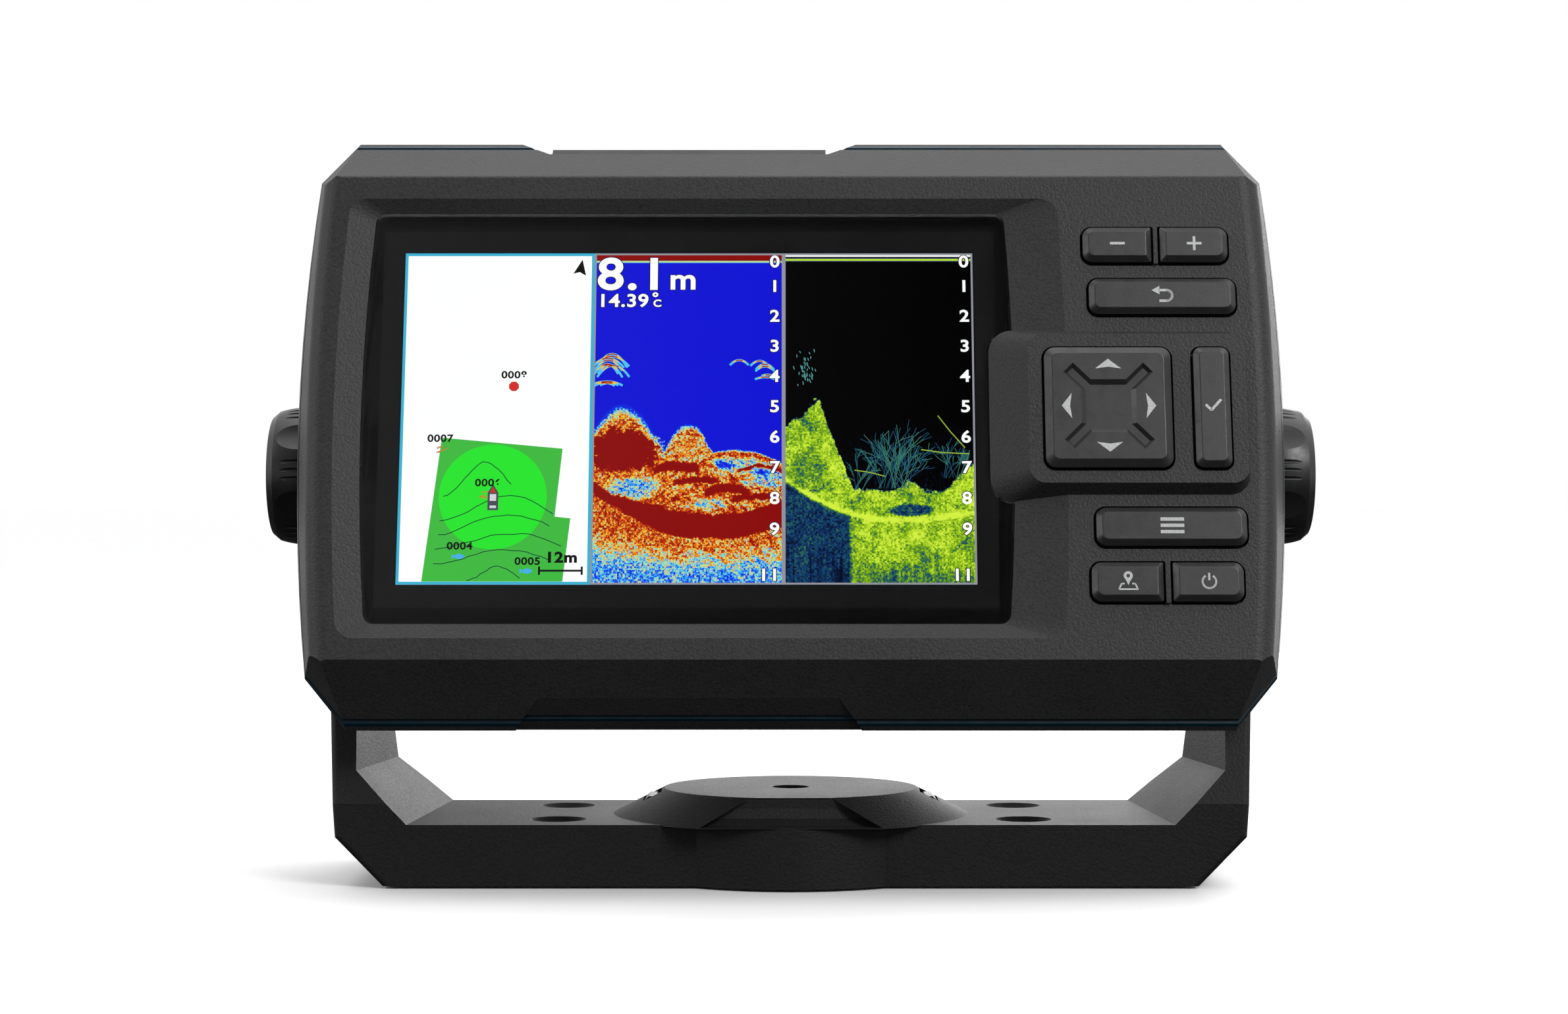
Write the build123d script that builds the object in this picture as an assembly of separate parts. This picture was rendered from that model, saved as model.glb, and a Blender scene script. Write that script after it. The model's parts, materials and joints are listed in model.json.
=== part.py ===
from build123d import *
from math import cos, radians, sin
import os

# Fish finder: a display head that tilts between the arms of a bail, which turns on a swivel base.
# Row frame: +X to the user's right, +Y away from the user, +Z up, origin under the swivel axis.
# Head frame: x = row X, y = up along the face, z = depth, outwards from the knob axis to the user.

# ---- Driving dimensions, in millimetres and degrees ------------------------------------------
head_lean = 14.4        # how far the face leans back at rest
axis_height = 78.1      # knob axis above the surface

face_depth = 30.7       # front face, measured out from the knob axis
lip_depth = 21.7        # rear edge of the front case
seam_depth = 21.0       # front of the coloured trim
trim_depth = 20.5       # back of the coloured trim
rim_depth = 19.9        # widest outline of the head
flange_depth = 18.9     # back of the rear case's flange
back_depth = -17.0      # rear face of the head
wall = 2.2              # moulded wall

# An outline of the head: flat top and bottom edges, cut corners and bowed sides.
FACE = dict(top=51.1, bottom=-43.1, top_half=87.0, bottom_half=86.6,
            shoulder=(88.9, 49.2), waist=(90.3, 6.0), hip=(88.5, -41.2))
RIM = dict(top=61.7, bottom=-54.4, top_half=84.0, bottom_half=82.8,
           shoulder=(91.3, 53.6), waist=(94.0, 4.0), hip=(90.9, -44.6))
BODY = dict(top=57.0, bottom=-50.2, top_half=70.0, bottom_half=70.0,
            shoulder=(80.6, 46.0), waist=(81.4, 3.0), hip=(80.2, -40.0))
BACK = dict(top=46.0, bottom=-41.0, top_half=60.0, bottom_half=60.0,
            shoulder=(70.0, 36.0), waist=(71.0, 2.0), hip=(69.6, -31.4))

# Cover glass and the shallow sunk surround around it: left, right, bottom, top and the bow of each side.
GLASS = dict(left=-79.0, right=40.5, bottom=-36.1, top=44.0, left_bow=-80.8, right_bow=42.0, corner=2.0)
SURROUND = dict(left=-83.9, right=50.6, bottom=-39.1, top=46.6,
                left_bow=-85.8, right_bow=51.9, corner=3.5)
glass_face = 29.2
glass_thick = 1.15
bond_thick = 0.3
ledge_back = 25.9
notch_floor = 58.46     # floor of the notch in the top edge
window = (-77.5, 38.7, -32.9, 40.7)          # opening behind the glass: x0, x1, y0, y1
display_centre = (-19.4, 3.93)
panel_size = (115.0, 72.4)
panel_face = 28.0

# Raised island that holds the direction pad and the select key.
island_foot = (37.3, 86.0, -12.7, 20.7)
island_top = (44.4, 85.2, -10.2, 18.7)
island_depth = 33.4

# Key openings, each x0, x1, y0, y1 in the head frame.
KEY_OPENINGS = {
    "minus_key": (54.95, 68.8, 33.1, 40.9),
    "plus_key": (69.6, 83.25, 33.1, 40.9),
    "back_key": (55.9, 84.45, 22.8, 30.7),
    "menu_key": (56.2, 85.0, -22.2, -14.05),
    "waypoint_key": (55.1, 69.2, -32.8, -24.5),
    "power_key": (70.1, 84.05, -32.8, -24.5),
}
# End of each key that meets a neighbour: 1 for the right, -1 for the left.
PAIRED_ENDS = {"minus_key": 1, "plus_key": -1, "waypoint_key": 1, "power_key": -1}
SELECT_OPENING = (74.8, 82.35, -7.9, 16.25)
PAD_OPENING = (46.9, 71.45, -7.9, 16.25)
key_gap = 0.45
key_rise = 1.7
key_bevel = 1.05
flange_thick = 0.9
pad_flange_drop = 1.15

# Keypad stack, depths in the head frame.
board_back, board_front = 22.4, 23.9
membrane_back, membrane_front = 24.9, 25.7

# Main board and case screws.
main_back, main_front = 17.0, 18.6
BOARD_POSTS = [(-68.0, 43.4), (30.0, 43.4), (-68.0, -35.5), (30.0, -35.5)]
CASE_SCREWS = [(x, y) for x in (-70.0, -8.0, 70.0) for y in (50.2, -43.6)]

# Sockets on the back.
socket_spots = {"power_socket": (-15.0, -14.0), "transducer_socket": (15.0, -14.0)}
socket_bore = 7.5
socket_outer = 9.5
socket_neck = 7.0
pocket_floor = -9.0

# Bail and swivel base.
bail_half_depth = 25.0
bail_floor = 0.4
base_height = 12.0
disc_height = 17.0
disc_radius = 24.8
cone_radius = 34.75
bulge_radius = 30.7
arm_outer = 88.9
arm_pad = 84.3
bail_screw_x, bail_screw_y = 44.7, 13.8
bail_hole = 2.5
countersink = 5.5
swivel_radius = 27.0
swivel_room = 27.5
swivel_top = 10.3
spigot_radius = 5.95
screw_circle = 40.0
base_hole = 2.25

# Knobs, distances out from the head's centre plane along the knob axis.
knob_inner, knob_outer = 89.8, 101.7
knob_radius = 13.46
stud_radius = 2.95
stud_room = 3.3         # hole for the stud through each arm
insert_bore = 3.0
insert_outer = 4.2
boss_radius = 11.0
boss_face = 83.6

HEAD = Plane(origin=(0, 0, axis_height), x_dir=(1, 0, 0),
             z_dir=(0, -cos(radians(head_lean)), sin(radians(head_lean)))).location


# ---- Small helpers ---------------------------------------------------------------------------
def block(x0, x1, y0, y1, z0, z1):
    """Box given by its limits."""
    return Pos((x0 + x1) / 2, (y0 + y1) / 2, (z0 + z1) / 2) * Box(x1 - x0, y1 - y0, z1 - z0)


def rod(radius, z0, z1, x=0.0, y=0.0):
    """Cylinder along +Z."""
    return Pos(x, y, (z0 + z1) / 2) * Cylinder(radius, z1 - z0)


def rod_x(radius, x0, x1, y=0.0, z=0.0):
    """Cylinder along +X."""
    return Pos((x0 + x1) / 2, y, z) * Rot(0, 90, 0) * Cylinder(radius, x1 - x0)


def cone(foot, top, z0, height, x=0.0, y=0.0):
    """Upright cone or countersink that starts at z0."""
    return Pos(x, y, z0) * Cone(foot, top, height, align=(Align.CENTER, Align.CENTER, Align.MIN))


def tube(outer, inner, z0, z1, x=0.0, y=0.0):
    """Ring along +Z."""
    return rod(outer, z0, z1, x, y) - rod(inner, z0 - 1, z1 + 1, x, y)


def tube_x(outer, inner, x0, x1, y=0.0, z=0.0):
    """Ring along +X."""
    return rod_x(outer, x0, x1, y, z) - rod_x(inner, x0 - 1, x1 + 1, y, z)


def rounded(x0, x1, y0, y1, radius, depth=0.0):
    """Rounded rectangle at a depth."""
    return Pos((x0 + x1) / 2, (y0 + y1) / 2, depth) * RectangleRounded(x1 - x0, y1 - y0, radius)


def slab(x0, x1, y0, y1, z0, z1, radius):
    """Plate with rounded corners."""
    return extrude(rounded(x0, x1, y0, y1, radius, z0), z1 - z0)


def mirrored(shape):
    """The same shape on the other side of the centre plane."""
    return mirror(shape, Plane.YZ)


def solids_of(*shapes):
    """One compound of separate solids."""
    return Compound([s for shape in shapes for s in shape.solids()])


def head_face(section, depth, inset=0.0):
    """Face bounded by a head outline, moved in by inset, at a depth."""
    slack = 0.414 * inset
    top, bottom = section["top"] - inset, section["bottom"] + inset
    shoulder = (section["shoulder"][0] - inset, section["shoulder"][1] - slack)
    waist = (section["waist"][0] - inset, section["waist"][1])
    hip = (section["hip"][0] - inset, section["hip"][1] + slack)
    right = [(section["top_half"] - slack, top), shoulder, waist, hip,
             (section["bottom_half"] - slack, bottom)]
    left = [(-x, y) for x, y in right]
    edges = [
        Line(left[0], right[0]), Line(right[0], right[1]), ThreePointArc(right[1], right[2], right[3]),
        Line(right[3], right[4]), Line(right[4], left[4]), Line(left[4], left[3]),
        ThreePointArc(left[3], left[2], left[1]), Line(left[1], left[0]),
    ]
    return Pos(0, 0, depth) * make_face(Curve() + edges)


def head_form(front, front_depth, rear, rear_depth, inset=0.0):
    """Solid between two head outlines."""
    return loft([head_face(rear, rear_depth, inset), head_face(front, front_depth, inset)], ruled=True)


def window_face(shape, depth, grow=0.0):
    """Face of a rounded window with bowed left and right sides."""
    x0, x1 = shape["left"] - grow, shape["right"] + grow
    y0, y1 = shape["bottom"] - grow, shape["top"] + grow
    mid = (y0 + y1) / 2
    edges = [
        Line((x0, y1), (x1, y1)), ThreePointArc((x1, y1), (shape["right_bow"] + grow, mid), (x1, y0)),
        Line((x1, y0), (x0, y0)), ThreePointArc((x0, y0), (shape["left_bow"] - grow, mid), (x0, y1)),
    ]
    face = make_face(Curve() + edges)
    return Pos(0, 0, depth) * fillet(face.vertices(), shape["corner"])


def grown(box, by):
    """Rectangle limits moved out by a distance."""
    return (box[0] - by, box[1] + by, box[2] - by, box[3] + by)


# ---- Head shells -----------------------------------------------------------------------------
def flare():
    """Outer form of the head from the front face back to its rim, with rounded face edges."""
    form = head_form(FACE, face_depth, RIM, rim_depth)
    face_edges = form.faces().sort_by(Axis.Z)[-1].edges().sort_by(Axis.X)
    form = fillet([face_edges[0], face_edges[-1]], 4.0)
    profile = Polyline((FACE["top"], face_depth), (RIM["top"], rim_depth), (RIM["top"], rim_depth - 2),
                       (RIM["bottom"], rim_depth - 2), (RIM["bottom"], rim_depth),
                       (FACE["bottom"], face_depth), close=True)
    creased = extrude(Plane.YZ.location * make_face(profile), 100, both=True)
    creases = creased.edges().filter_by(Axis.X).sort_by(Axis.Z)[-2:]
    return form & fillet(creases, 0.9)


def catch_notch(floor, reach):
    """Cutter for the notch in the top edge that the sun cover clips into."""
    outline = Polyline((-46.8, floor), (7.2, floor), (13.5, floor + 3.7), (13.5, 70), (-53.1, 70),
                       (-53.1, floor + 3.7), close=True)
    return extrude(Pos(0, 0, 10) * make_face(outline), reach)


def thumb_scoop():
    """Cutter for the shallow scoop in the bottom edge, a plane less steep than the case's own."""
    start, end = (-48.8, 25.35), (-53.24, 19.9)
    run = ((end[0] - start[0]) ** 2 + (end[1] - start[1]) ** 2) ** 0.5
    across = Plane(origin=(-19.0, start[0], start[1]), x_dir=(1, 0, 0),
                   z_dir=(0, (end[1] - start[1]) / run, -(end[0] - start[0]) / run))
    trapezium = Polyline((-27.5, 0), (27.5, 0), (31.9, -run), (33.5, -run - 4), (-33.5, -run - 4),
                         (-31.9, -run), close=True)
    return across.location * extrude(make_face(trapezium), 8)


def island(room=0.0):
    """Raised island: an upright foot at the glass, then walls that lean in to its flat top."""
    foot = grown(island_foot, room)
    top = grown(island_top, room)
    foot_back = glass_face - glass_thick + 0.1 - room
    lower = extrude(rounded(*foot, 4.5, foot_back), glass_face - foot_back)
    upper = loft([rounded(*foot, 4.5, glass_face), rounded(*top, 3.0, island_depth)], ruled=True)
    return lower + upper


def front_case():
    """Front moulding: flared shell, glass seat, island, key openings and screw posts."""
    cut_behind = block(-120, 120, -80, 80, 0, lip_depth)
    outer = flare() - cut_behind
    hollow = head_form(FACE, face_depth - wall, RIM, rim_depth - wall, wall)
    hollow &= block(-120, 120, -80, 80, 0, 40)
    shell = outer - hollow
    seat = extrude(window_face(GLASS, ledge_back, grow=2.3), face_depth - ledge_back) & outer
    key_rim = block(45.0, 87.0, -36.0, 44.0, face_depth - wall, face_depth - 0.5)
    shell = shell + seat + key_rim
    surround = loft([window_face(GLASS, glass_face), window_face(SURROUND, face_depth + 0.001)], ruled=True)
    pocket = extrude(window_face(GLASS, glass_face - glass_thick - bond_thick, grow=0.1), 3.0)
    pocket = pocket & block(-120, 120, -80, 80, 0, glass_face + 0.01)
    shell = shell - surround - pocket - block(*window, ledge_back - 1, face_depth)
    shell = shell + island()
    pad_room = slab(45.6, 83.6, -9.0, 17.5, face_depth - wall - 1, island_depth - wall, 2.0)
    shell = shell - pad_room
    for name, opening in KEY_OPENINGS.items():
        outline = key_outline(opening, 2.3, face_depth - 5, PAIRED_ENDS.get(name, 0))
        shell -= extrude(outline, 6)
    shell -= slab(*SELECT_OPENING, island_depth - 6, island_depth + 1, 1.9)
    shell -= slab(*PAD_OPENING, island_depth - 6, island_depth + 1, 2.4)
    for left_key, right_key in (("minus_key", "plus_key"), ("waypoint_key", "power_key")):
        x0, x1 = KEY_OPENINGS[left_key][1], KEY_OPENINGS[right_key][0]
        y0, y1 = KEY_OPENINGS[left_key][2:]
        shell += block(x0, x1, y0 + 0.2, y1 - 0.2, face_depth - 1, face_depth + 0.75)
    for x, y in BOARD_POSTS:
        shell += rod(2.2, main_front + 0.05, ledge_back + 0.4, x, y)
    for x, y in CASE_SCREWS:
        shell += rod(3.6, trim_depth + 0.1, face_depth - 1, x, y) & outer_with_depth()
    for x, y in BOARD_POSTS:
        shell -= rod(0.95, main_front - 1, ledge_back - 1.2, x, y)
    for x, y in CASE_SCREWS:
        shell -= rod(1.5, trim_depth - 1, face_depth - 4.6, x, y)
    shell -= catch_notch(notch_floor, 20)
    shell -= thumb_scoop()
    return shell


def outer_with_depth():
    """Inside of the head's outer surface, from the trim forward, for posts that stand on it."""
    return head_form(FACE, face_depth - 0.6, RIM, rim_depth - 0.6, 0.6)


def seam_ring(front, rear, inset, width):
    """Ring that follows the head's outline between two depths."""
    form = head_form(FACE, face_depth, RIM, rim_depth, inset)
    core = extrude(head_face(RIM, rear - 1, width), front - rear + 2)
    layer = block(-120, 120, -80, 80, rear, front)
    return (form & layer) - core - catch_notch(notch_floor - inset, 20) - shifted_scoop(inset)


def shifted_scoop(inset):
    """The scoop's cutter moved into the case by an inset."""
    return Pos(0, inset, 0) * thumb_scoop()


def rear_case():
    """Rear moulding: flange behind the trim, tapering tub, knob bosses, socket pocket and screw wells."""
    flange = head_form(FACE, face_depth, RIM, rim_depth) & block(-120, 120, -80, 80, rim_depth, trim_depth)
    flange = flange + extrude(head_face(RIM, flange_depth, 0.35), rim_depth - flange_depth)
    tub = head_form(BODY, trim_depth - 0.5, BACK, back_depth)
    tub_edges = tub.faces().sort_by(Axis.Z)[0].edges()
    tub = fillet(tub_edges, 2.2)
    hollow = head_form(BODY, trim_depth + 0.5, BACK, back_depth + wall, wall)
    case = flange + tub
    for side in (-1, 1):
        case += rod_x(boss_radius, min(side * 66, side * boss_face), max(side * 66, side * boss_face))
    boss_core = rod_x(7.0, -boss_face, -69) + rod_x(7.0, 69, boss_face)
    case = case - (hollow - boss_core)
    pocket_wall = slab(-32.5, 32.5, -28.5, 0.5, back_depth + 1, pocket_floor + wall, 4.0)
    pocket = slab(-30.3, 30.3, -26.3, -1.7, back_depth - 1, pocket_floor, 3.0)
    case = case + pocket_wall - pocket
    for x, y in CASE_SCREWS:
        inside = head_form(BODY, trim_depth - 0.5, BACK, back_depth, 0.4)
        case += rod(4.6, -12, trim_depth - 0.4, x, y) & inside
    for x, y in CASE_SCREWS:
        case -= rod(3.3, back_depth - 3, 14.0, x, y)
        case -= rod(1.7, 10, trim_depth + 1, x, y)
    for side in (-1, 1):
        case -= rod_x(insert_outer, min(side * 71.5, side * 90), max(side * 71.5, side * 90))
    for x, y in socket_spots.values():
        case -= rod(socket_neck + 0.1, pocket_floor - 2, pocket_floor + wall + 1, x, y)
    case -= rod(3.0, back_depth - 1, back_depth + wall + 1, 48.0, -20.0)
    case -= catch_notch(notch_floor, 20)
    case -= thumb_scoop()
    return case


def cover_catch():
    """Smooth strip in the top notch that the sun cover clips over."""
    strip = block(-46.4, 6.8, 58.5, 60.6, flange_depth, lip_depth - 0.1)
    return strip & head_form(FACE, face_depth - 1.1, RIM, rim_depth - 1.1)


# ---- Display stack ---------------------------------------------------------------------------
def cover_glass():
    """Flat glass that drops into its seat, cut out around the island's foot."""
    sheet = extrude(window_face(GLASS, glass_face - glass_thick), glass_thick)
    return sheet - island(room=0.15)


def glass_bond():
    """Adhesive frame under the edge of the glass."""
    back = glass_face - glass_thick - bond_thick
    frame = extrude(window_face(GLASS, back, grow=-0.35), bond_thick)
    return frame - block(*window, back - 1, back + 1)


def display_box(depth0, depth1, shrink=0.0, radius=1.0):
    """Plate centred on the display."""
    half_x, half_y = panel_size[0] / 2 - shrink, panel_size[1] / 2 - shrink
    cx, cy = display_centre
    return slab(cx - half_x, cx + half_x, cy - half_y, cy + half_y, depth0, depth1, radius)


def backlight():
    """Light guide in a folded steel tray."""
    tray = display_box(21.6, 25.95, shrink=0.4)
    lamp_bar = block(-4.0, 24.0, -37.0, -30.0, 22.6, 24.4)
    return tray + lamp_bar


def display_flex():
    """Flat cable that runs from the display's lower edge back and under to the main board."""
    low = display_centre[1] - panel_size[1] / 2 - 0.45
    left, right = display_centre[0] - 11, display_centre[0] + 11
    drop = block(left, right, low, low + 0.2, 19.9, 27.0)
    return drop + block(left, right, low, low + 9.0, 19.9, 20.1)


# ---- Electronics -----------------------------------------------------------------------------
def main_board():
    """Main circuit board behind the display."""
    board = slab(-73.0, 44.0, -38.4, 45.3, main_back, main_front, 2.0)
    for x, y in BOARD_POSTS:
        board -= rod(1.35, main_back - 1, main_front + 1, x, y)
    return board


def board_parts():
    """Processor, memory, regulators, connectors and capacitors on the main board's back."""
    z1 = main_back - 0.05
    chips = [block(x - w / 2, x + w / 2, y - h / 2, y + h / 2, z1 - t, z1) for x, y, w, h, t in (
        (8.0, 22.0, 14.0, 14.0, 1.4), (26.0, 22.0, 11.0, 9.0, 1.1), (-10.0, 24.0, 10.0, 8.0, 1.2),
        (30.0, -10.0, 9.0, 12.0, 3.2), (-20.0, -26.0, 22.0, 6.0, 5.0), (14.0, -26.0, 22.0, 6.0, 5.0))]
    cans = [rod(3.1, z1 - 7.0, z1, x, -8.0) for x in (-62.0, -54.0, -46.0)]
    flex_plug = block(-30.4, -8.4, -26.5, -23.5, main_front + 0.05, 19.85)
    return solids_of(*chips, *cans, flex_plug)


def shield_can():
    """Tinned cover over the sonar front end."""
    outer = slab(-36.0, -14.0, -14.0, 12.0, main_back - 4.05, main_back - 0.05, 1.0)
    return outer - slab(-35.6, -14.4, -13.6, 11.6, main_back - 3.65, main_back + 1, 0.8)


def gps_antenna():
    """Ceramic patch antenna with its silvered spot."""
    patch = slab(-68.0, -43.0, 10.0, 35.0, main_back - 4.05, main_back - 0.05, 0.6)
    return patch + slab(-64.0, -47.0, 14.0, 31.0, main_back - 4.2, main_back - 4.0, 0.4)


def beeper():
    """Round piezo sounder."""
    can = rod(6.0, main_back - 4.5, main_back - 0.05, 4.0, 4.0)
    return can - rod(1.0, main_back - 6, main_back - 3.5, 4.0, 4.0)


def keypad_board():
    """Circuit board under the keys."""
    return slab(47.0, 86.0, -35.0, 43.0, board_back, board_front, 1.5)


def key_centres():
    """Centre of each key opening."""
    spots = [((x0 + x1) / 2, (y0 + y1) / 2) for x0, x1, y0, y1 in KEY_OPENINGS.values()]
    x0, x1, y0, y1 = SELECT_OPENING
    return spots + [((x0 + x1) / 2, (y0 + y1) / 2)]


def pad_centre():
    """Centre of the direction pad."""
    x0, x1, y0, y1 = PAD_OPENING
    return (x0 + x1) / 2, (y0 + y1) / 2


def pad_presses():
    """Points under the four arms of the direction pad."""
    cx, cy = pad_centre()
    return [(cx + 8.5, cy), (cx - 8.5, cy), (cx, cy + 8.5), (cx, cy - 8.5)]


def key_switches():
    """A tactile switch under each key and under each arm of the pad."""
    cells = []
    for x, y in key_centres() + pad_presses():
        body = block(x - 2.3, x + 2.3, y - 2.3, y + 2.3, board_front + 0.02, membrane_back - 0.35)
        cells.append(body + rod(1.1, membrane_back - 0.4, membrane_back - 0.03, x, y))
    return solids_of(*cells)


def keypad_membrane():
    """Silicone sheet with a raised dome under each key."""
    sheet = slab(46.4, 86.5, -35.5, 43.5, membrane_back, membrane_front, 2.0)
    for x, y in key_centres()[:-1]:
        sheet += cone(3.0, 2.2, membrane_front - 0.1, 0.7, x, y)
    x, y = key_centres()[-1]
    sheet += cone(3.0, 2.2, membrane_front - 0.1, 3.0, x, y)
    for x, y in pad_presses():
        sheet += cone(2.6, 1.8, membrane_front - 0.1, 2.0, x, y)
    return sheet


# ---- Keys ------------------------------------------------------------------------------------
def key_outline(box, radius, depth, paired_end=0):
    """Rounded outline of a key, nearly square at the end that meets its neighbour."""
    x0, x1, y0, y1 = box
    outline = rounded(*box, radius, depth)
    if paired_end:
        middle = (x0 + x1) / 2
        half = (middle, x1) if paired_end > 0 else (x0, middle)
        outline += rounded(*half, y0, y1, 0.35, depth)
    return outline


def crown(opening, face, radius, paired_end=0, bevel=key_bevel):
    """Bevelled key top standing out of its opening."""
    body = grown(opening, -key_gap)
    shoulder = face + key_rise - 0.95
    stem = extrude(key_outline(body, radius, face - 3.0, paired_end), shoulder - face + 3.0)
    top = loft([key_outline(body, radius, shoulder, paired_end),
                key_outline(grown(body, -bevel), radius * 0.6, face + key_rise, paired_end)], ruled=True)
    cap = stem + top
    return fillet(cap.faces().sort_by(Axis.Z)[-1].edges(), 0.3)


def key(opening, face, paired_end=0):
    """Key with a retaining flange behind its opening."""
    x0, x1, y0, y1 = grown(opening, -key_gap)
    flange_front = face - wall - 0.1
    flange = slab(x0 + 0.3, x1 - 0.3, y0 - 1.15, y1 + 1.15, flange_front - flange_thick, flange_front, 1.0)
    return crown(opening, face, 1.9, paired_end) + flange


def select_key():
    """Tall select key beside the pad, flanged along its long sides."""
    x0, x1, y0, y1 = grown(SELECT_OPENING, -key_gap)
    flange_front = island_depth - wall - 0.1
    flange = slab(x0 - 1.1, x1 + 1.1, y0 + 0.4, y1 - 0.4, flange_front - flange_thick, flange_front, 1.0)
    return crown(SELECT_OPENING, island_depth, 1.5) + flange


def pad_recess():
    """Cutter for the pad's sunken middle and its four diagonal arms, with sloping walls."""
    cx, cy = pad_centre()
    floor, top = Pos(cx, cy, island_depth + 1.0), Pos(cx, cy, island_depth + 1.75)
    recess = loft([floor * Rectangle(8.5, 8.5), top * Rectangle(10.4, 10.4)])
    for angle in (45, 135, 225, 315):
        turn = Rot(0, 0, angle)
        recess += loft([floor * turn * Pos(5.0, 0, 0) * Rectangle(10.0, 1.3),
                        top * turn * Pos(5.3, 0, 0) * Rectangle(10.6, 2.7)])
    return recess


def direction_pad():
    """Rocking pad with a sunken cross-shaped middle and an octagonal retaining flange."""
    cx, cy = pad_centre()
    pad = crown(PAD_OPENING, island_depth, 2.0, bevel=1.4) - pad_recess()
    flange_front = island_depth - wall - pad_flange_drop
    flange = extrude(regular_octagon(cx, cy, 12.95, flange_front - flange_thick), flange_thick)
    pad = pad + flange + rod(9.0, flange_front - 0.1, island_depth - 2, cx, cy)
    socket = Pos(cx, cy, flange_front - flange_thick) * Sphere(2.9)
    return pad - socket


def regular_octagon(cx, cy, half, depth):
    """Octagon by half its width across the flats."""
    return Pos(cx, cy, depth) * Rot(0, 0, 22.5) * RegularPolygon(half, 8, major_radius=False)


def pad_pivot():
    """Ball post that the pad rocks on."""
    cx, cy = pad_centre()
    ball_depth = island_depth - wall - pad_flange_drop - flange_thick
    ball = Pos(cx, cy, ball_depth) * Sphere(2.6)
    return ball + rod(1.6, membrane_front + 0.2, ball_depth, cx, cy)


# ---- Back of the head ------------------------------------------------------------------------
def socket_shell(spot):
    """Threaded round socket housing with an open bore towards the back."""
    x, y = spot
    collar = tube(socket_outer, socket_bore, back_depth + 0.6, pocket_floor - 0.05, x, y)
    barrel = tube(socket_neck, 5.6, pocket_floor - 0.1, 1.5, x, y)
    floor = rod(socket_outer - 0.5, pocket_floor - 0.4, pocket_floor - 0.05, x, y)
    return collar + barrel + floor - rod(5.6, pocket_floor - 2, 2.5, x, y)


def socket_insert(spot):
    """Moulded insert with four contact holes and solder tails."""
    x, y = spot
    core = rod(5.5, pocket_floor - 0.35, 3.5, x, y)
    for dx, dy in ((-2.1, -2.1), (-2.1, 2.1), (2.1, -2.1), (2.1, 2.1)):
        core -= rod(0.75, pocket_floor - 2, pocket_floor + 3, x + dx, y + dy)
        core += rod(0.5, 3.0, 7.0, x + dx, y + dy)
    return core


def socket_nut(spot):
    """Hex nut that clamps a socket from inside."""
    x, y = spot
    body = extrude(Pos(x, y, pocket_floor + wall + 0.05) * RegularPolygon(10.5, 6, major_radius=False), 3.0)
    return body - rod(socket_neck + 0.05, pocket_floor, 5, x, y)


def vent_plug():
    """Breathable pressure vent on the back."""
    plug = rod(5.0, back_depth - 1.2, back_depth - 0.02, 48.0, -20.0)
    plug = fillet(plug.faces().sort_by(Axis.Z)[0].edges(), 0.5)
    return plug + rod(2.95, back_depth - 0.1, back_depth + wall + 1.5, 48.0, -20.0)


def screw(x, y, head_back, head_radius, head_height, shank_radius, tip):
    """Pan-head screw that enters from the back, with a cross recess."""
    head = rod(head_radius, head_back, head_back + head_height, x, y)
    head = fillet(head.faces().sort_by(Axis.Z)[0].edges(), head_height * 0.4)
    shank = rod(shank_radius, head_back + head_height - 0.1, tip, x, y)
    arm = head_radius * 0.55
    recess = block(x - arm, x + arm, y - 0.35, y + 0.35, head_back - 1, head_back + 1)
    recess += block(x - 0.35, x + 0.35, y - arm, y + arm, head_back - 1, head_back + 1)
    return head + shank - recess


# ---- Bail ------------------------------------------------------------------------------------
def bail_side_profile():
    """Side view of the bail: full depth at its foot, arms that narrow to a round end at the axis."""
    end = 14.5
    points = [(-bail_half_depth, bail_floor), (-bail_half_depth, 16.0), (-19.0, 34.0), (-end, 62.0),
              (-end, axis_height)]
    edges = [Line(a, b) for a, b in zip(points, points[1:])]
    edges += [Line((-a[0], a[1]), (-b[0], b[1])) for a, b in zip(points, points[1:])]
    edges.append(Line(points[0], (bail_half_depth, bail_floor)))
    edges.append(ThreePointArc(points[-1], (0, axis_height + end), (end, axis_height)))
    return make_face(Curve() + edges)


def bail_inner(foot_x, knee, arm_x, y):
    """Opening between the arms, seen from the front, at one depth."""
    top = 110.0
    right = [(foot_x, base_height), knee, (arm_x, top)]
    points = right + [(-x, z) for x, z in reversed(right)]
    front = Plane(origin=(0, y, 0), x_dir=(1, 0, 0), z_dir=(0, -1, 0))
    return front.location * make_face(Polyline(*points, close=True))


def on_outer_side(edge):
    """True for the long front and back edges of the bail's outer sides."""
    centre, along = edge.center(), edge.tangent_at(0.5)
    runs_up = abs(along.Y) < 0.6 and abs(along.X) < 0.9
    on_side = abs(centre.X) > 85.9 or (abs(centre.X) > 81 and centre.Z < 9)
    return runs_up and on_side and centre.Z > 4 and abs(centre.Y) > 10


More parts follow.
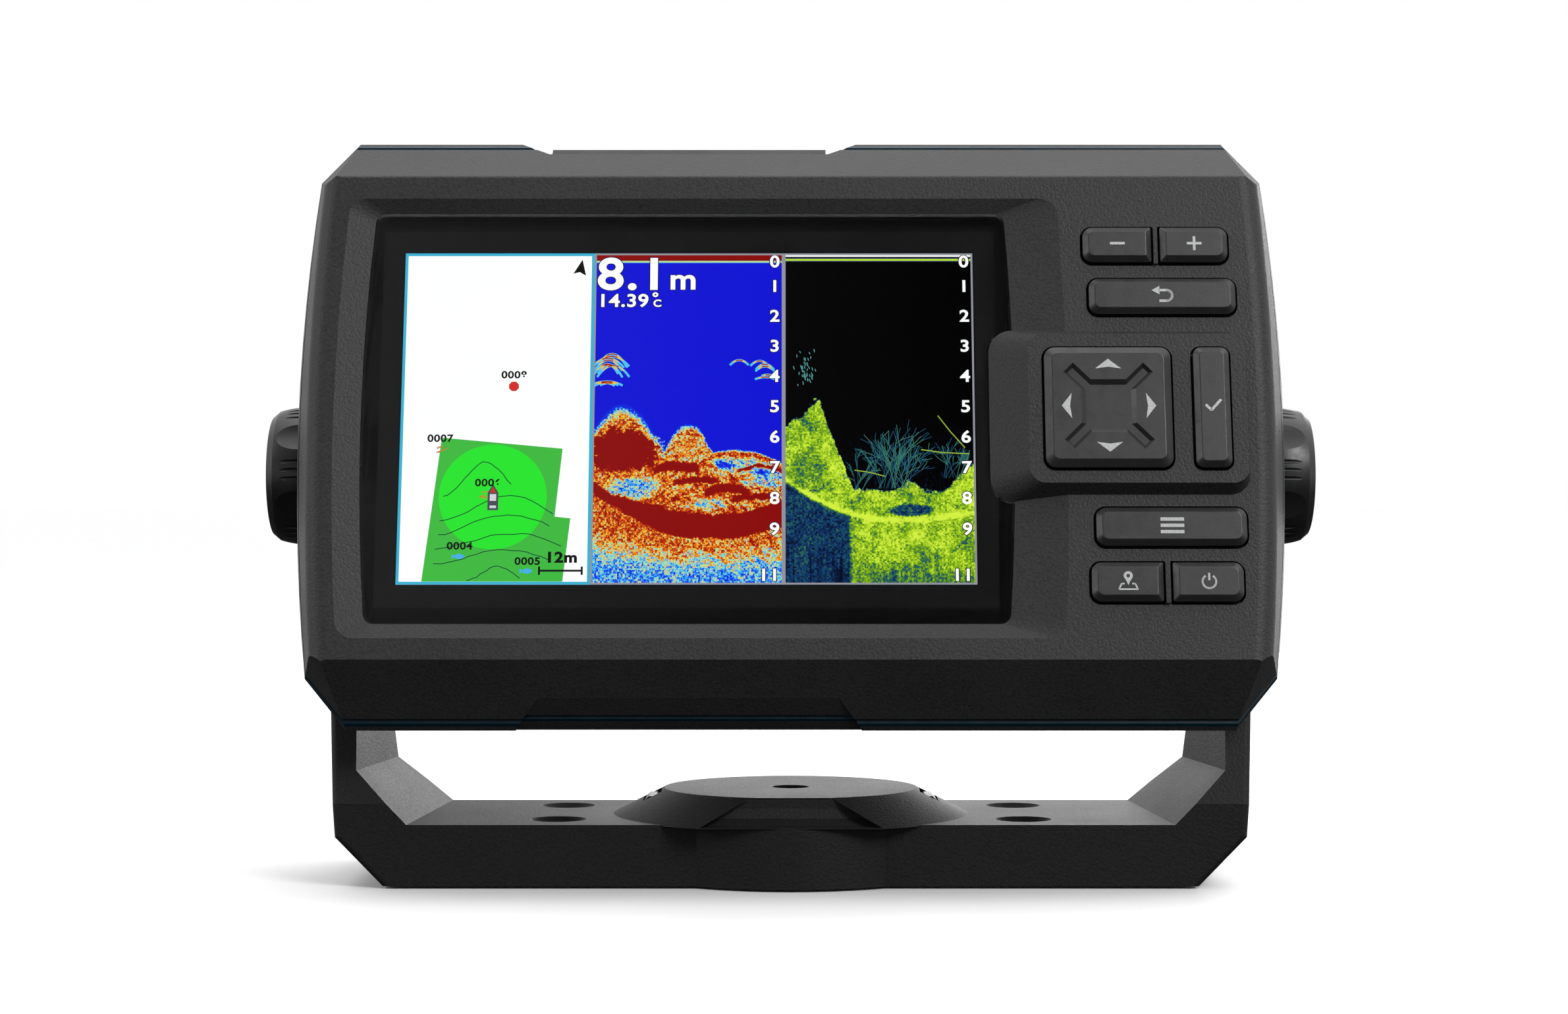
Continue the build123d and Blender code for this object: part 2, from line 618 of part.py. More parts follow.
def bail_bracket():
    """U-shaped bail with a hub, screw holes and hollow underside."""
    points = [(77.2, bail_floor), (86.2, 9.6), (arm_outer, 50.0), (arm_outer, 100.0)]
    outline = points + [(-x, z) for x, z in reversed(points)]
    front = Plane.XZ.location * make_face(Polyline(*outline, close=True))
    block_form = extrude(front, bail_half_depth, both=True)
    side = extrude(Plane.YZ.location * bail_side_profile(), 95, both=True)
    form = block_form & side
    opening = loft([bail_inner(72.6, (82.4, 22.2), 87.0, -bail_half_depth - 0.5),
                    bail_inner(69.0, (79.9, 21.0), 85.8, bail_half_depth + 0.5)], ruled=True)
    form = form - opening
    form = fillet([edge for edge in form.edges() if on_outer_side(edge)], 1.2)
    form += both_sides(rod_x(boss_radius, arm_pad, 86, 0, axis_height))
    form -= both_sides(rod_x(boss_radius + 0.8, arm_pad - 8, arm_pad, 0, axis_height))
    form -= both_sides(rod_x(stud_room, 80, 95, 0, axis_height))
    form += rod(bulge_radius, bail_floor, base_height)
    form = form + hub()
    pocket = block(34.0, 71.0, -21.8, 21.8, bail_floor - 1, 9.0)
    for y in (-bail_screw_y, bail_screw_y):
        pocket -= rod(6.8, -1, 10, bail_screw_x, y)
    form -= both_sides(pocket)
    for x in (-bail_screw_x, bail_screw_x):
        for y in (-bail_screw_y, bail_screw_y):
            form -= rod(bail_hole, -1, 20, x, y)
            form -= cone(bail_hole, countersink, base_height - 3.2, 3.3, x, y)
    form -= rod(swivel_room, -1, 10.9)
    form -= tube(22.5, 9.5, 10.8, 13.6)
    form -= rod(spigot_radius + 0.05, 10, 12.8)
    form -= rod(2.35, 10, 20)
    form -= rod(3.6, 13.9, 20)
    return form


def hub():
    """Cone and flat disc over the swivel, with side latch windows and a front cut."""
    skirt = cone(cone_radius + 0.4, disc_radius, base_height - 0.2, disc_height - base_height + 0.2)
    form = skirt & block(-60, 60, -bulge_radius, bail_half_depth, 0, 30)
    profile = Polyline((-32, 11.95), (-27.0, 11.95), (-24.9, 13.2), (-24.0, 15.0), (-23.9, 16.75),
                       (-25.2, 18.5), (-32, 18.5), close=True)
    front_cut = Plane.YZ.location * make_face(profile)
    cut = extrude(front_cut, 40, both=True)
    wedge = Polyline((-18.0, 11.5), (-7.6, 17.0), (7.6, 17.0), (18.0, 11.5), close=True)
    cut = cut & extrude(Pos(0, -20, 0) * Plane.XZ.location * make_face(wedge), 20)
    return form - cut - both_sides(block(25.2, 28.8, -5.5, 5.5, 13.0, 20))


def latch_tabs():
    """Two sprung tabs that show in the hub's side windows."""
    tab = block(25.5, 28.5, -5.2, 5.2, 13.05, 15.6)
    tab = chamfer(tab.edges().filter_by(Axis.Y).sort_by(Axis.Z)[-2:], 0.8)
    return solids_of(tab, mirrored(tab))


def detent_spring():
    """Steel ring spring fixed in the hub, its two tips just over the notched ring of the base."""
    ring = tube(21.5, 16.0, 12.9, 13.5)
    tip = rod(1.0, 11.35, 13.0, 18.6, 0)
    return ring + tip + mirrored(tip)


# ---- Swivel base -----------------------------------------------------------------------------
def swivel_base():
    """Round base that screws to the boat, with a notched ring and a spigot for the bail."""
    base = rod(swivel_radius, 0, swivel_top)
    base = chamfer(base.faces().sort_by(Axis.Z)[-1].edges(), 0.6)
    for index in range(24):
        notch = Rot(0, 0, index * 15) * Pos(18.6, 0, swivel_top) * Rot(0, 90, 0) * Cylinder(0.9, 5.0)
        base -= notch
    base += rod(spigot_radius, swivel_top - 0.5, 12.5)
    base -= tube(26.0, 22.8, -1, 1.0)
    for x, y in base_screw_spots():
        base -= rod(base_hole, -1, 20, x, y)
        base -= cone(base_hole, 4.6, swivel_top - 2.6, 2.7, x, y)
    base -= rod(3.3, -1, 9.0)
    base -= rod(2.2, -1, 20)
    return base


def base_screw_spots():
    """Centres of the base's mounting holes."""
    radius = screw_circle / 2
    return [(radius * cos(radians(a)), radius * sin(radians(a))) for a in (45, 135, 225, 315)]


def swivel_nut():
    """Brass insert that the swivel screw threads into."""
    return tube(3.25, 2.05, 2.5, 8.9)


def swivel_screw():
    """Cheese-head screw that holds the bail down on its base."""
    head = rod(3.3, 14.35, 16.2)
    head = fillet(head.faces().sort_by(Axis.Z)[-1].edges(), 0.4)
    slot = block(-4, 4, -0.5, 0.5, 15.3, 17)
    return head + rod(2.0, 3.5, 14.4) - slot


# ---- Knobs (right-hand side; the left is its mirror image) -------------------------------------
def knob_grip():
    """Barrel-shaped knob with three fine grooves in each of six groups and finger hollows between."""
    edges = [
        Line((knob_inner, 3.2), (knob_inner, 12.0)), Line((knob_inner, 12.0), (90.9, 12.9)),
        ThreePointArc((90.9, 12.9), (95.0, knob_radius), (100.0, 12.7)),
        Line((100.0, 12.7), (101.3, 11.6)),
        Line((101.3, 11.6), (101.3, 10.2)), Line((101.3, 10.2), (100.0, 9.4)),
        Line((100.0, 9.4), (100.0, 3.2)),
        Line((100.0, 3.2), (knob_inner, 3.2)),
    ]
    grip = revolve(make_face(Curve() + edges), Axis.X, 360)
    for index in range(6):
        for step in (-1, 0, 1):
            angle = index * 60 + step * 7 - 20
            grip -= Rot(angle, 0, 0) * Pos(0, -knob_radius - 0.05, 0) * rod_x(0.42, 91.6, 100.6)
        grip -= Rot(index * 60 + 10, 0, 0) * Pos(0, -knob_radius - 14.4, 0) * rod_x(15.0, 91.4, 104)
    return grip


def knob_cap():
    """Domed plug in the knob's outer end."""
    dome_radius = 62.1
    plug = rod_x(9.3, 100.05, knob_outer)
    return plug & Pos(knob_outer - dome_radius, 0, 0) * Sphere(dome_radius)


def knob_stud():
    """Threaded stud moulded into the knob, with its flats."""
    stud = rod_x(stud_radius, 75.0, 96.0)
    hexagon = extrude(RegularPolygon(3.1, 6, major_radius=False), 2.6, both=True)
    flats = Pos(97.0, 0, 0) * Rot(0, 90, 0) * hexagon
    stud = chamfer(stud.faces().sort_by(Axis.X)[0].edges(), 0.7)
    return stud + flats


def both_sides(shape):
    """A right-hand shape and its mirror image, as separate solids."""
    return solids_of(shape, mirrored(shape))


# ---- Build and write -------------------------------------------------------------------------
def build():
    """Every node's name and shape, in the row frame."""
    case_screws = [screw(x, y, 11.9, 2.8, 2.05, 1.45, 25.5) for x, y in CASE_SCREWS]
    board_screws = [screw(x, y, 15.0, 2.2, 1.95, 0.93, 23.8) for x, y in BOARD_POSTS]
    head_nodes = {
        "front_case": front_case(),
        "rear_case": rear_case(),
        "accent_trim": seam_ring(seam_depth, trim_depth + 0.02, 0.0, 6.0),
        "case_gasket": seam_ring(lip_depth - 0.02, seam_depth + 0.02, 1.2, 5.0),
        "cover_catch": cover_catch(),
        "cover_glass": cover_glass(),
        "glass_bond": glass_bond(),
        "display_panel": display_box(26.0, panel_face),
        "backlight": backlight(),
        "display_flex": display_flex(),
        "main_board": main_board(),
        "board_parts": board_parts(),
        "shield_can": shield_can(),
        "gps_antenna": gps_antenna(),
        "beeper": beeper(),
        "keypad_board": keypad_board(),
        "key_switches": key_switches(),
        "keypad_membrane": keypad_membrane(),
        "direction_pad": direction_pad(),
        "pad_pivot": pad_pivot(),
        "select_key": select_key(),
        "socket_inserts": solids_of(*[socket_insert(spot) for spot in socket_spots.values()]),
        "socket_nuts": solids_of(*[socket_nut(spot) for spot in socket_spots.values()]),
        "vent_plug": vent_plug(),
        "case_screws": solids_of(*case_screws),
        "board_screws": solids_of(*board_screws),
        "knob_inserts": both_sides(tube_x(insert_outer - 0.02, insert_bore, 71.6, boss_face - 0.2)),
        "friction_washers": both_sides(tube_x(10.4, 4.4, boss_face + 0.03, boss_face + 0.55)),
    }
    for name, opening in KEY_OPENINGS.items():
        head_nodes[name] = key(opening, face_depth, PAIRED_ENDS.get(name, 0))
    for name, spot in socket_spots.items():
        head_nodes[name] = socket_shell(spot)
    for side, turn in (("right", lambda shape: shape), ("left", mirrored)):
        head_nodes[f"{side}_knob"] = turn(knob_grip())
        head_nodes[f"{side}_knob_cap"] = turn(knob_cap())
        head_nodes[f"{side}_knob_stud"] = turn(knob_stud())
        head_nodes[f"{side}_knob_washer"] = turn(tube_x(10.5, 3.25, arm_outer + 0.05, knob_inner - 0.05))
    nodes = {name: HEAD * shape for name, shape in head_nodes.items()}
    nodes["bail_bracket"] = bail_bracket()
    nodes["latch_tabs"] = latch_tabs()
    nodes["detent_spring"] = detent_spring()
    nodes["swivel_base"] = swivel_base()
    nodes["base_pad"] = tube(25.9, 22.9, 0, 0.95)
    nodes["swivel_nut"] = swivel_nut()
    nodes["swivel_screw"] = swivel_screw()
    nodes["swivel_washer"] = tube(3.4, 2.1, 13.92, 14.3)
    return nodes


os.makedirs("parts", exist_ok=True)
for node, shape in build().items():
    export_step(shape, f"parts/{node}.step")
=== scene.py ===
import json
from math import atan2, cos, pi, radians, sin
from random import Random

import bmesh
import bpy
from mathutils import Matrix, Vector
from mathutils.bvhtree import BVHTree

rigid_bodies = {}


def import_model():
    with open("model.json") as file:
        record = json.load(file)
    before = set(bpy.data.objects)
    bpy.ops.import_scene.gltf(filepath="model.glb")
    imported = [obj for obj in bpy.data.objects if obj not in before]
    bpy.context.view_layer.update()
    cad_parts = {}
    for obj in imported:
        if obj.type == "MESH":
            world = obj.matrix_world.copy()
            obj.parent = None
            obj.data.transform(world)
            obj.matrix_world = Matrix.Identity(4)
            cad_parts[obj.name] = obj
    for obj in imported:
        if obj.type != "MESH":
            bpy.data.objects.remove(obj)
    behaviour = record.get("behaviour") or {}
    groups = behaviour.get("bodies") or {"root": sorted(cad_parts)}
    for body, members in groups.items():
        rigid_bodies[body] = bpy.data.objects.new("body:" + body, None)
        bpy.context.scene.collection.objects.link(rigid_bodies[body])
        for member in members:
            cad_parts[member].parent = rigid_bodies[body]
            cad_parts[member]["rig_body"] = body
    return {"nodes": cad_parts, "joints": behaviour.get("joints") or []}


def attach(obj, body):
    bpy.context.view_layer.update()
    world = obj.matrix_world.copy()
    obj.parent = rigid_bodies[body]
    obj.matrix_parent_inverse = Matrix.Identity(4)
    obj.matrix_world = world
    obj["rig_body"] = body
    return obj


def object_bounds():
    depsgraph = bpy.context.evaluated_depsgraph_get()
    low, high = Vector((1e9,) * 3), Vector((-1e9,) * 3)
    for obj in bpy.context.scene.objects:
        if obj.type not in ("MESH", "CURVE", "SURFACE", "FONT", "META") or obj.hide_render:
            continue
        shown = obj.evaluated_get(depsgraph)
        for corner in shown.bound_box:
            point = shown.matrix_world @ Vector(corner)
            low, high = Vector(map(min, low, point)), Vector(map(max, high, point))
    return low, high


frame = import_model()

CAD_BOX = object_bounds()
MM = 0.001
NODES = frame["nodes"]
JOINTS = {joint["name"]: joint for joint in frame["joints"]}

# The head leans back, so its parts are placed in a frame of its own: x across, y up the face and
# z out of the face, with the origin on the knobs' axis.
INTO_FACE = Vector(JOINTS["plus_press"]["axis"])
UP_FACE = Vector(JOINTS["pad_rock_sideways"]["axis"])
PIVOT = Vector(JOINTS["head_tilt"]["pos_m"])
HEAD = Matrix.Translation(PIVOT) @ Matrix((Vector((1, 0, 0)), UP_FACE, -INTO_FACE)).transposed().to_4x4()
TO_HEAD = HEAD.inverted()


def head_box(node):
    """A node's lowest and highest corners in the head's frame."""
    points = [TO_HEAD @ v.co for v in NODES[node].data.vertices]
    return (Vector([min(p[i] for p in points) for i in range(3)]),
            Vector([max(p[i] for p in points) for i in range(3)]))


# ---- Shader nodes ----------------------------------------------------------------------------
class Value:
    """A socket in a material's node tree that takes part in plain arithmetic."""

    def __init__(self, tree, socket):
        self.tree, self.socket = tree, socket

    def math(self, operation, *others):
        node = self.tree.nodes.new("ShaderNodeMath")
        node.operation = operation
        for slot, value in enumerate((self, *others)):
            connect(self.tree, value, node.inputs[slot])
        return Value(self.tree, node.outputs[0])

    def __add__(self, other):
        return self.math("ADD", other)

    def __sub__(self, other):
        return self.math("SUBTRACT", other)

    def __mul__(self, other):
        return self.math("MULTIPLY", other)

    def __truediv__(self, other):
        return self.math("DIVIDE", other)

    __radd__, __rmul__ = __add__, __mul__

    def __rsub__(self, other):
        return (self * -1.0) + other

    def least(self, other):
        return self.math("MINIMUM", other)

    def most(self, other):
        return self.math("MAXIMUM", other)

    def ease(self, low, high, at_low=0.0, at_high=1.0):
        """Goes smoothly from at_low to at_high as the value goes from low to high."""
        node = self.tree.nodes.new("ShaderNodeMapRange")
        node.interpolation_type = "SMOOTHSTEP"
        for slot, value in enumerate((self, low, high, at_low, at_high)):
            connect(self.tree, value, node.inputs[slot])
        return Value(self.tree, node.outputs[0])

    def ramp(self, *stops):
        """A colour for each value: stops are (place, colour)."""
        node = self.tree.nodes.new("ShaderNodeValToRGB")
        elements = node.color_ramp.elements
        for spot, (place, colour) in enumerate(stops):
            element = elements[spot] if spot < 2 else elements.new(place)
            element.position, element.color = place, (*colour, 1.0)
        connect(self.tree, self, node.inputs[0])
        return node.outputs[0]


def connect(tree, value, socket):
    """Links a value into a socket, or sets the socket to a plain number."""
    if isinstance(value, Value):
        tree.links.new(value.socket, socket)
    elif isinstance(value, bpy.types.NodeSocket):
        tree.links.new(value, socket)
    else:
        socket.default_value = value


def linear(*levels):
    """A colour given in the 0 to 255 levels of a picture, as the shader wants it."""
    return tuple((v / 255 / 12.92) if v <= 10 else ((v / 255 + 0.055) / 1.055) ** 2.4 for v in levels)


class Look:
    """A material under construction, with coordinates in millimetres."""

    def __init__(self, name, colour=(0.5, 0.5, 0.5), rough=0.5, **settings):
        self.material = bpy.data.materials.new(name)
        self.material.use_nodes = True
        self.tree = self.material.node_tree
        self.shader = self.tree.nodes["Principled BSDF"]
        self.set(**{"Base Color": (*colour, 1.0), "Roughness": rough}, **settings)
        coordinates = self.tree.nodes.new("ShaderNodeTexCoord")
        scale = self.tree.nodes.new("ShaderNodeVectorMath")
        scale.operation = "SCALE"
        scale.inputs["Scale"].default_value = 1 / MM
        self.tree.links.new(coordinates.outputs["Object"], scale.inputs[0])
        self.place = scale.outputs[0]

    def set(self, **settings):
        for name, value in settings.items():
            socket = self.shader.inputs[name.replace("_", " ")]
            connect(self.tree, value, socket)
        return self

    def xyz(self):
        split = self.tree.nodes.new("ShaderNodeSeparateXYZ")
        self.tree.links.new(self.place, split.inputs[0])
        return [Value(self.tree, out) for out in split.outputs]

    def stretched(self, x, y, z):
        """The coordinates with each axis scaled, for a pattern that runs one way."""
        node = self.tree.nodes.new("ShaderNodeVectorMath")
        node.operation = "MULTIPLY"
        node.inputs[1].default_value = (x, y, z)
        self.tree.links.new(self.place, node.inputs[0])
        return node.outputs[0]

    def vector(self, x, y, z=0.0):
        node = self.tree.nodes.new("ShaderNodeCombineXYZ")
        for slot, value in enumerate((x, y, z)):
            connect(self.tree, value, node.inputs[slot])
        return node.outputs[0]

    def noise(self, size, detail=3.0, rough=0.55, place=None):
        """Cloudy noise from 0 to 1 whose blotches are about size millimetres."""
        node = self.tree.nodes.new("ShaderNodeTexNoise")
        node.inputs["Scale"].default_value = 1 / size
        node.inputs["Detail"].default_value = detail
        node.inputs["Roughness"].default_value = rough
        self.tree.links.new(place or self.place, node.inputs["Vector"])
        return Value(self.tree, node.outputs["Fac"])

    def cells(self, size, feature):
        """Distance in a pattern of cells about size millimetres wide."""
        node = self.tree.nodes.new("ShaderNodeTexVoronoi")
        node.feature = feature
        node.inputs["Scale"].default_value = 1 / size
        self.tree.links.new(self.place, node.inputs["Vector"])
        return Value(self.tree, node.outputs["Distance"])

    def white_noise(self, place):
        node = self.tree.nodes.new("ShaderNodeTexWhiteNoise")
        self.tree.links.new(place, node.inputs["Vector"])
        return Value(self.tree, node.outputs["Value"])

    def bump(self, height, depth):
        """Relief: height is 0 to 1, and depth how far that is in millimetres."""
        node = self.tree.nodes.new("ShaderNodeBump")
        node.inputs["Distance"].default_value = depth * MM
        connect(self.tree, height, node.inputs["Height"])
        previous = self.shader.inputs["Normal"].links
        if previous:
            self.tree.links.new(previous[0].from_socket, node.inputs["Normal"])
        self.tree.links.new(node.outputs[0], self.shader.inputs["Normal"])
        return self

    def tint(self, amount, dark, light):
        """Colour that goes from dark to light with a value of 0 to 1."""
        colour = amount.ramp((0.0, dark), (1.0, light))
        self.tree.links.new(colour, self.shader.inputs["Base Color"])
        return self


def shade(colour, factor):
    return tuple(min(1.0, channel * factor) for channel in colour)


def moulded(name, colour, rough, grain_size, grain_depth, gloss=0.5):
    """Moulded plastic with a fine leather grain: pebbles with creases between them."""
    look = Look(name, colour, rough, Specular_IOR_Level=gloss)
    warped = look.noise(grain_size * 2.5, 2.0)
    pebbles = look.cells(grain_size, "SMOOTH_F1").ease(0.15, 0.75, 1.0, 0.0)
    creases = look.cells(grain_size * 1.9, "DISTANCE_TO_EDGE").ease(0.0, 0.16)
    height = pebbles * 0.55 + creases * 0.3 + warped * 0.3
    blotches = look.noise(23.0, 4.0)
    look.tint((height * 0.6 + blotches * 0.4).ease(0.2, 0.9), shade(colour, 0.8), shade(colour, 1.22))
    look.set(Roughness=(blotches * 0.12 + height * 0.10 + (rough - 0.11)))
    look.bump(height, grain_depth)
    return look.material


def smooth_plastic(name, colour, rough, gloss=0.5):
    """Plastic from a polished or satin mould, with the faint ripple and scuffs of use."""
    look = Look(name, colour, rough, Specular_IOR_Level=gloss)
    ripple = look.noise(9.0, 2.0)
    satin = look.noise(0.35, 3.0, 0.7)
    scuffs = look.noise(3.0, 5.0, 0.65, look.stretched(1.0, 0.22, 1.0))
    look.tint((ripple * 0.5 + satin * 0.5).ease(0.25, 0.75), shade(colour, 0.85), shade(colour, 1.15))
    look.set(Roughness=(scuffs.ease(0.35, 0.8) * 0.14 + satin * 0.06 + (rough - 0.08)))
    look.bump(satin, 0.012).bump(ripple, 0.03)
    return look.material


def rubber(name, colour, rough=0.75):
    """Matt moulded rubber with a powdery surface."""
    look = Look(name, colour, rough, Specular_IOR_Level=0.3)
    fine = look.noise(0.25, 4.0, 0.7)
    bloom = look.noise(7.0, 4.0)
    look.tint((fine * 0.4 + bloom * 0.6).ease(0.3, 0.75), shade(colour, 0.8), shade(colour, 1.35))
    look.set(Roughness=fine * 0.15 + (rough - 0.07))
    look.bump(fine, 0.02)
    return look.material


def metal(name, colour, rough, lines=(1.0, 1.0, 12.0)):
    """Bare metal with fine brushed or turned lines along one axis."""
    look = Look(name, colour, rough, Metallic=1.0)
    brushed = look.noise(0.5, 4.0, 0.6, look.stretched(*lines))
    stains = look.noise(6.0, 4.0)
    look.tint((brushed * 0.5 + stains * 0.5).ease(0.25, 0.8), shade(colour, 0.75), shade(colour, 1.12))
    look.set(Roughness=brushed * 0.2 + stains * 0.1 + (rough - 0.12))
    look.bump(brushed, 0.01)
    return look.material


def board(name):
    """Green solder mask over copper tracks, with small plated holes."""
    look = Look(name, (0.02, 0.12, 0.05), 0.3)
    tracks = look.cells(2.6, "DISTANCE_TO_EDGE").ease(0.03, 0.07, 1.0, 0.0)
    tone = look.noise(9.0, 2.0)
    look.tint((tracks * 0.7 + tone * 0.3), (0.008, 0.075, 0.03), (0.045, 0.24, 0.1))
    look.bump(tracks, 0.03)
    return look.material


def fired(name, colour):
    """Fired ceramic with fine specks."""
    look = Look(name, colour, 0.35)
    specks = look.noise(0.4, 3.0, 0.7)
    look.tint(specks.ease(0.3, 0.75), shade(colour, 0.82), shade(colour, 1.1))
    look.set(Roughness=specks * 0.2 + 0.25)
    look.bump(specks, 0.01)
    return look.material


def amber_film(name):
    """Amber polyimide film with the conductors showing through."""
    look = Look(name, (0.4, 0.16, 0.02), 0.28)
    x, _, _ = look.xyz()
    stripes = (x * (2 * pi / 0.8)).math("SINE").ease(-0.2, 0.2)
    grime = look.noise(4.0, 3.0)
    look.tint(stripes * 0.7 + grime * 0.3, (0.22, 0.07, 0.008), (0.62, 0.3, 0.05))
    look.bump(stripes, 0.02)
    return look.material


FINISHES = {
    "case_plastic": moulded("case_plastic", linear(48, 48, 49), 0.48, 0.44, 0.045, 0.28),
    "rear_plastic": moulded("rear_plastic", linear(42, 42, 43), 0.5, 0.44, 0.045, 0.3),
    "bail_plastic": moulded("bail_plastic", linear(31, 31, 32), 0.55, 0.44, 0.045, 0.2),
    "accent_plastic": smooth_plastic("accent_plastic", linear(4, 34, 46), 0.36, 0.3),
    "catch_plastic": smooth_plastic("catch_plastic", linear(76, 76, 76), 0.7, 0.1),
    "key_plastic": smooth_plastic("key_plastic", linear(42, 42, 43), 0.40),
    "knob_plastic": smooth_plastic("knob_plastic", linear(32, 32, 33), 0.36),
    "base_plastic": moulded("base_plastic", linear(44, 44, 45), 0.5, 0.7, 0.06),
    "socket_plastic": smooth_plastic("socket_plastic", linear(46, 46, 47), 0.42),
    "latch_plastic": smooth_plastic("latch_plastic", linear(52, 52, 53), 0.45),
    "vent": moulded("vent", linear(70, 70, 70), 0.6, 0.4, 0.04),
    "switch": smooth_plastic("switch", linear(50, 50, 52), 0.5),
    "chip": smooth_plastic("chip", linear(42, 42, 44), 0.45),
    "washer_nylon": smooth_plastic("washer_nylon", linear(40, 40, 41), 0.5),
    "seal_rubber": rubber("seal_rubber", linear(38, 38, 38)),
    "membrane": rubber("membrane", linear(62, 62, 63), 0.7),
    "bond": smooth_plastic("bond", linear(8, 8, 8), 0.6, 0.1),
    "tray_steel": metal("tray_steel", (0.52, 0.52, 0.53), 0.35, (1.0, 12.0, 1.0)),
    "shield": metal("shield", (0.66, 0.65, 0.62), 0.3, (1.0, 1.0, 10.0)),
    "screw_steel": metal("screw_steel", (0.56, 0.56, 0.57), 0.28),
    "spring_steel": metal("spring_steel", (0.42, 0.42, 0.44), 0.34, (10.0, 1.0, 1.0)),
    "brass": metal("brass", (0.72, 0.5, 0.2), 0.3, (12.0, 1.0, 1.0)),
    "ceramic": fired("ceramic", linear(205, 198, 178)),
    "circuit_board": board("circuit_board"),
    "flex": amber_film("flex"),
}


# ---- Cover glass and the CAD nodes' finishes -------------------------------------------------
def clear_glass(name):
    """Clear glass with finger smears that only change how sharply it reflects."""
    look = Look(name, (0.94, 0.95, 0.96), 0.02, Transmission_Weight=1.0, IOR=1.5)
    smears = look.noise(14.0, 5.0, 0.6, look.stretched(1.0, 0.4, 0.4))
    look.set(Roughness=smears.ease(0.4, 0.85) * 0.05 + 0.015)
    return look.material


FINISHES["cover_glass"] = clear_glass("cover_glass")
FINISHES["display"] = smooth_plastic("display", linear(8, 8, 9), 0.5, 0.1)

for cad_node in NODES.values():
    slots = cad_node.data.materials
    for index, imported in enumerate(slots):
        slots[index] = FINISHES[imported.name]


# ---- Making pieces ---------------------------------------------------------------------------
FILM = 0.001                                    # thickness of one layer of the lit picture


def piece(name, points, faces, finish, body):
    """A mesh piece given in the head's frame in metres, riding on a CAD body."""
    mesh = bpy.data.meshes.new(name)
    mesh.from_pydata(points, [], faces)
    mesh.materials.append(finish)
    obj = bpy.data.objects.new(name, mesh)
    bpy.context.scene.collection.objects.link(obj)
    obj.matrix_world = HEAD
    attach(obj, body)


def flat_slab(name, outlines, depth, finish, thick=FILM):
    """Thin printed shapes that lie in one plane of the head's frame. Outlines are in millimetres."""
    points, faces = [], []
    for outline in outlines:
        first, count = len(points), len(outline)
        for height in (depth, depth + thick):
            points += [(x * MM, y * MM, height * MM) for x, y in outline]
        faces.append([first + i for i in reversed(range(count))])
        faces.append([first + count + i for i in range(count)])
        faces += [[first + i, first + (i + 1) % count, first + count + (i + 1) % count, first + count + i]
                  for i in range(count)]
    piece(name, points, faces, finish, "head")


def box_outline(x0, x1, y0, y1):
    return [(x0, y0), (x1, y0), (x1, y1), (x0, y1)]


def disc_outline(x, y, radius, sides=40, turn=0.0):
    return [(x + radius * cos(2 * pi * i / sides + turn), y + radius * sin(2 * pi * i / sides + turn))
            for i in range(sides)]


def stroke(points, width):
    """Outline quads of a line of one width through some points, one quad a step."""
    quads = []
    for (x0, y0), (x1, y1) in zip(points, points[1:]):
        length = max(1e-6, ((x1 - x0) ** 2 + (y1 - y0) ** 2) ** 0.5)
        nx, ny = -(y1 - y0) / length * width / 2, (x1 - x0) / length * width / 2
        ex, ey = (x1 - x0) / length * width * 0.15, (y1 - y0) / length * width * 0.15
        quads.append([(x0 + nx - ex, y0 + ny - ey), (x0 - nx - ex, y0 - ny - ey),
                      (x1 - nx + ex, y1 - ny + ey), (x1 + nx + ex, y1 + ny + ey)])
    return quads


# ---- The lit screen --------------------------------------------------------------------------
PANEL_LOW, PANEL_HIGH = head_box("display_panel")
MARGIN_X, MARGIN_LOW = 3.5, 3.8                 # dark edge of the display panel, in millimetres
SCREEN_W, SCREEN_H = 108.0, 64.8
SCREEN_X = PANEL_LOW.x / MM + MARGIN_X
SCREEN_Y = PANEL_LOW.y / MM + MARGIN_LOW
FACE_OF_PANEL = PANEL_HIGH.z / MM
LIFT = 0.004                                    # each layer of the picture lies this far over the last
PIXEL = SCREEN_W / 800
COARSE_GRAIN = 2.6                              # pixels across in the picture's coarser speckle
SCREEN_GLOW = 1.22


def layer(number):
    return FACE_OF_PANEL + 0.006 + number * LIFT


def lit(name, colour):
    """One colour of the picture, faintly uneven like a real backlight."""
    look = Look(name, (0.0, 0.0, 0.0), 0.9, Specular_IOR_Level=0.0)
    uneven = look.noise(30.0, 2.0)
    glow = uneven.ramp((0.2, shade(colour, 0.97)), (0.8, shade(colour, 1.0)))
    look.set(**{"Emission Color": glow, "Emission Strength": SCREEN_GLOW})
    return look.material


def screen_place(look):
    """Millimetres from the screen's lower left corner, held to whole pixels."""
    x, y, _ = look.xyz()
    x, y = x - SCREEN_X, y - SCREEN_Y
    cell_x = (x / PIXEL).math("FLOOR")
    cell_y = (y / PIXEL).math("FLOOR")
    fine = look.white_noise(look.vector(cell_x, cell_y))
    block = PIXEL * COARSE_GRAIN
    coarse = look.white_noise(look.vector((x / block).math("FLOOR"), (y / block).math("FLOOR")))
    return cell_x * PIXEL, cell_y * PIXEL, fine * 0.45 + coarse * 0.55


def hump(x, y, peak_x, peak_y, spread):
    """How far a point lies below a rounded hump, in millimetres."""
    across = x - peak_x
    return peak_y - across * across * spread - y


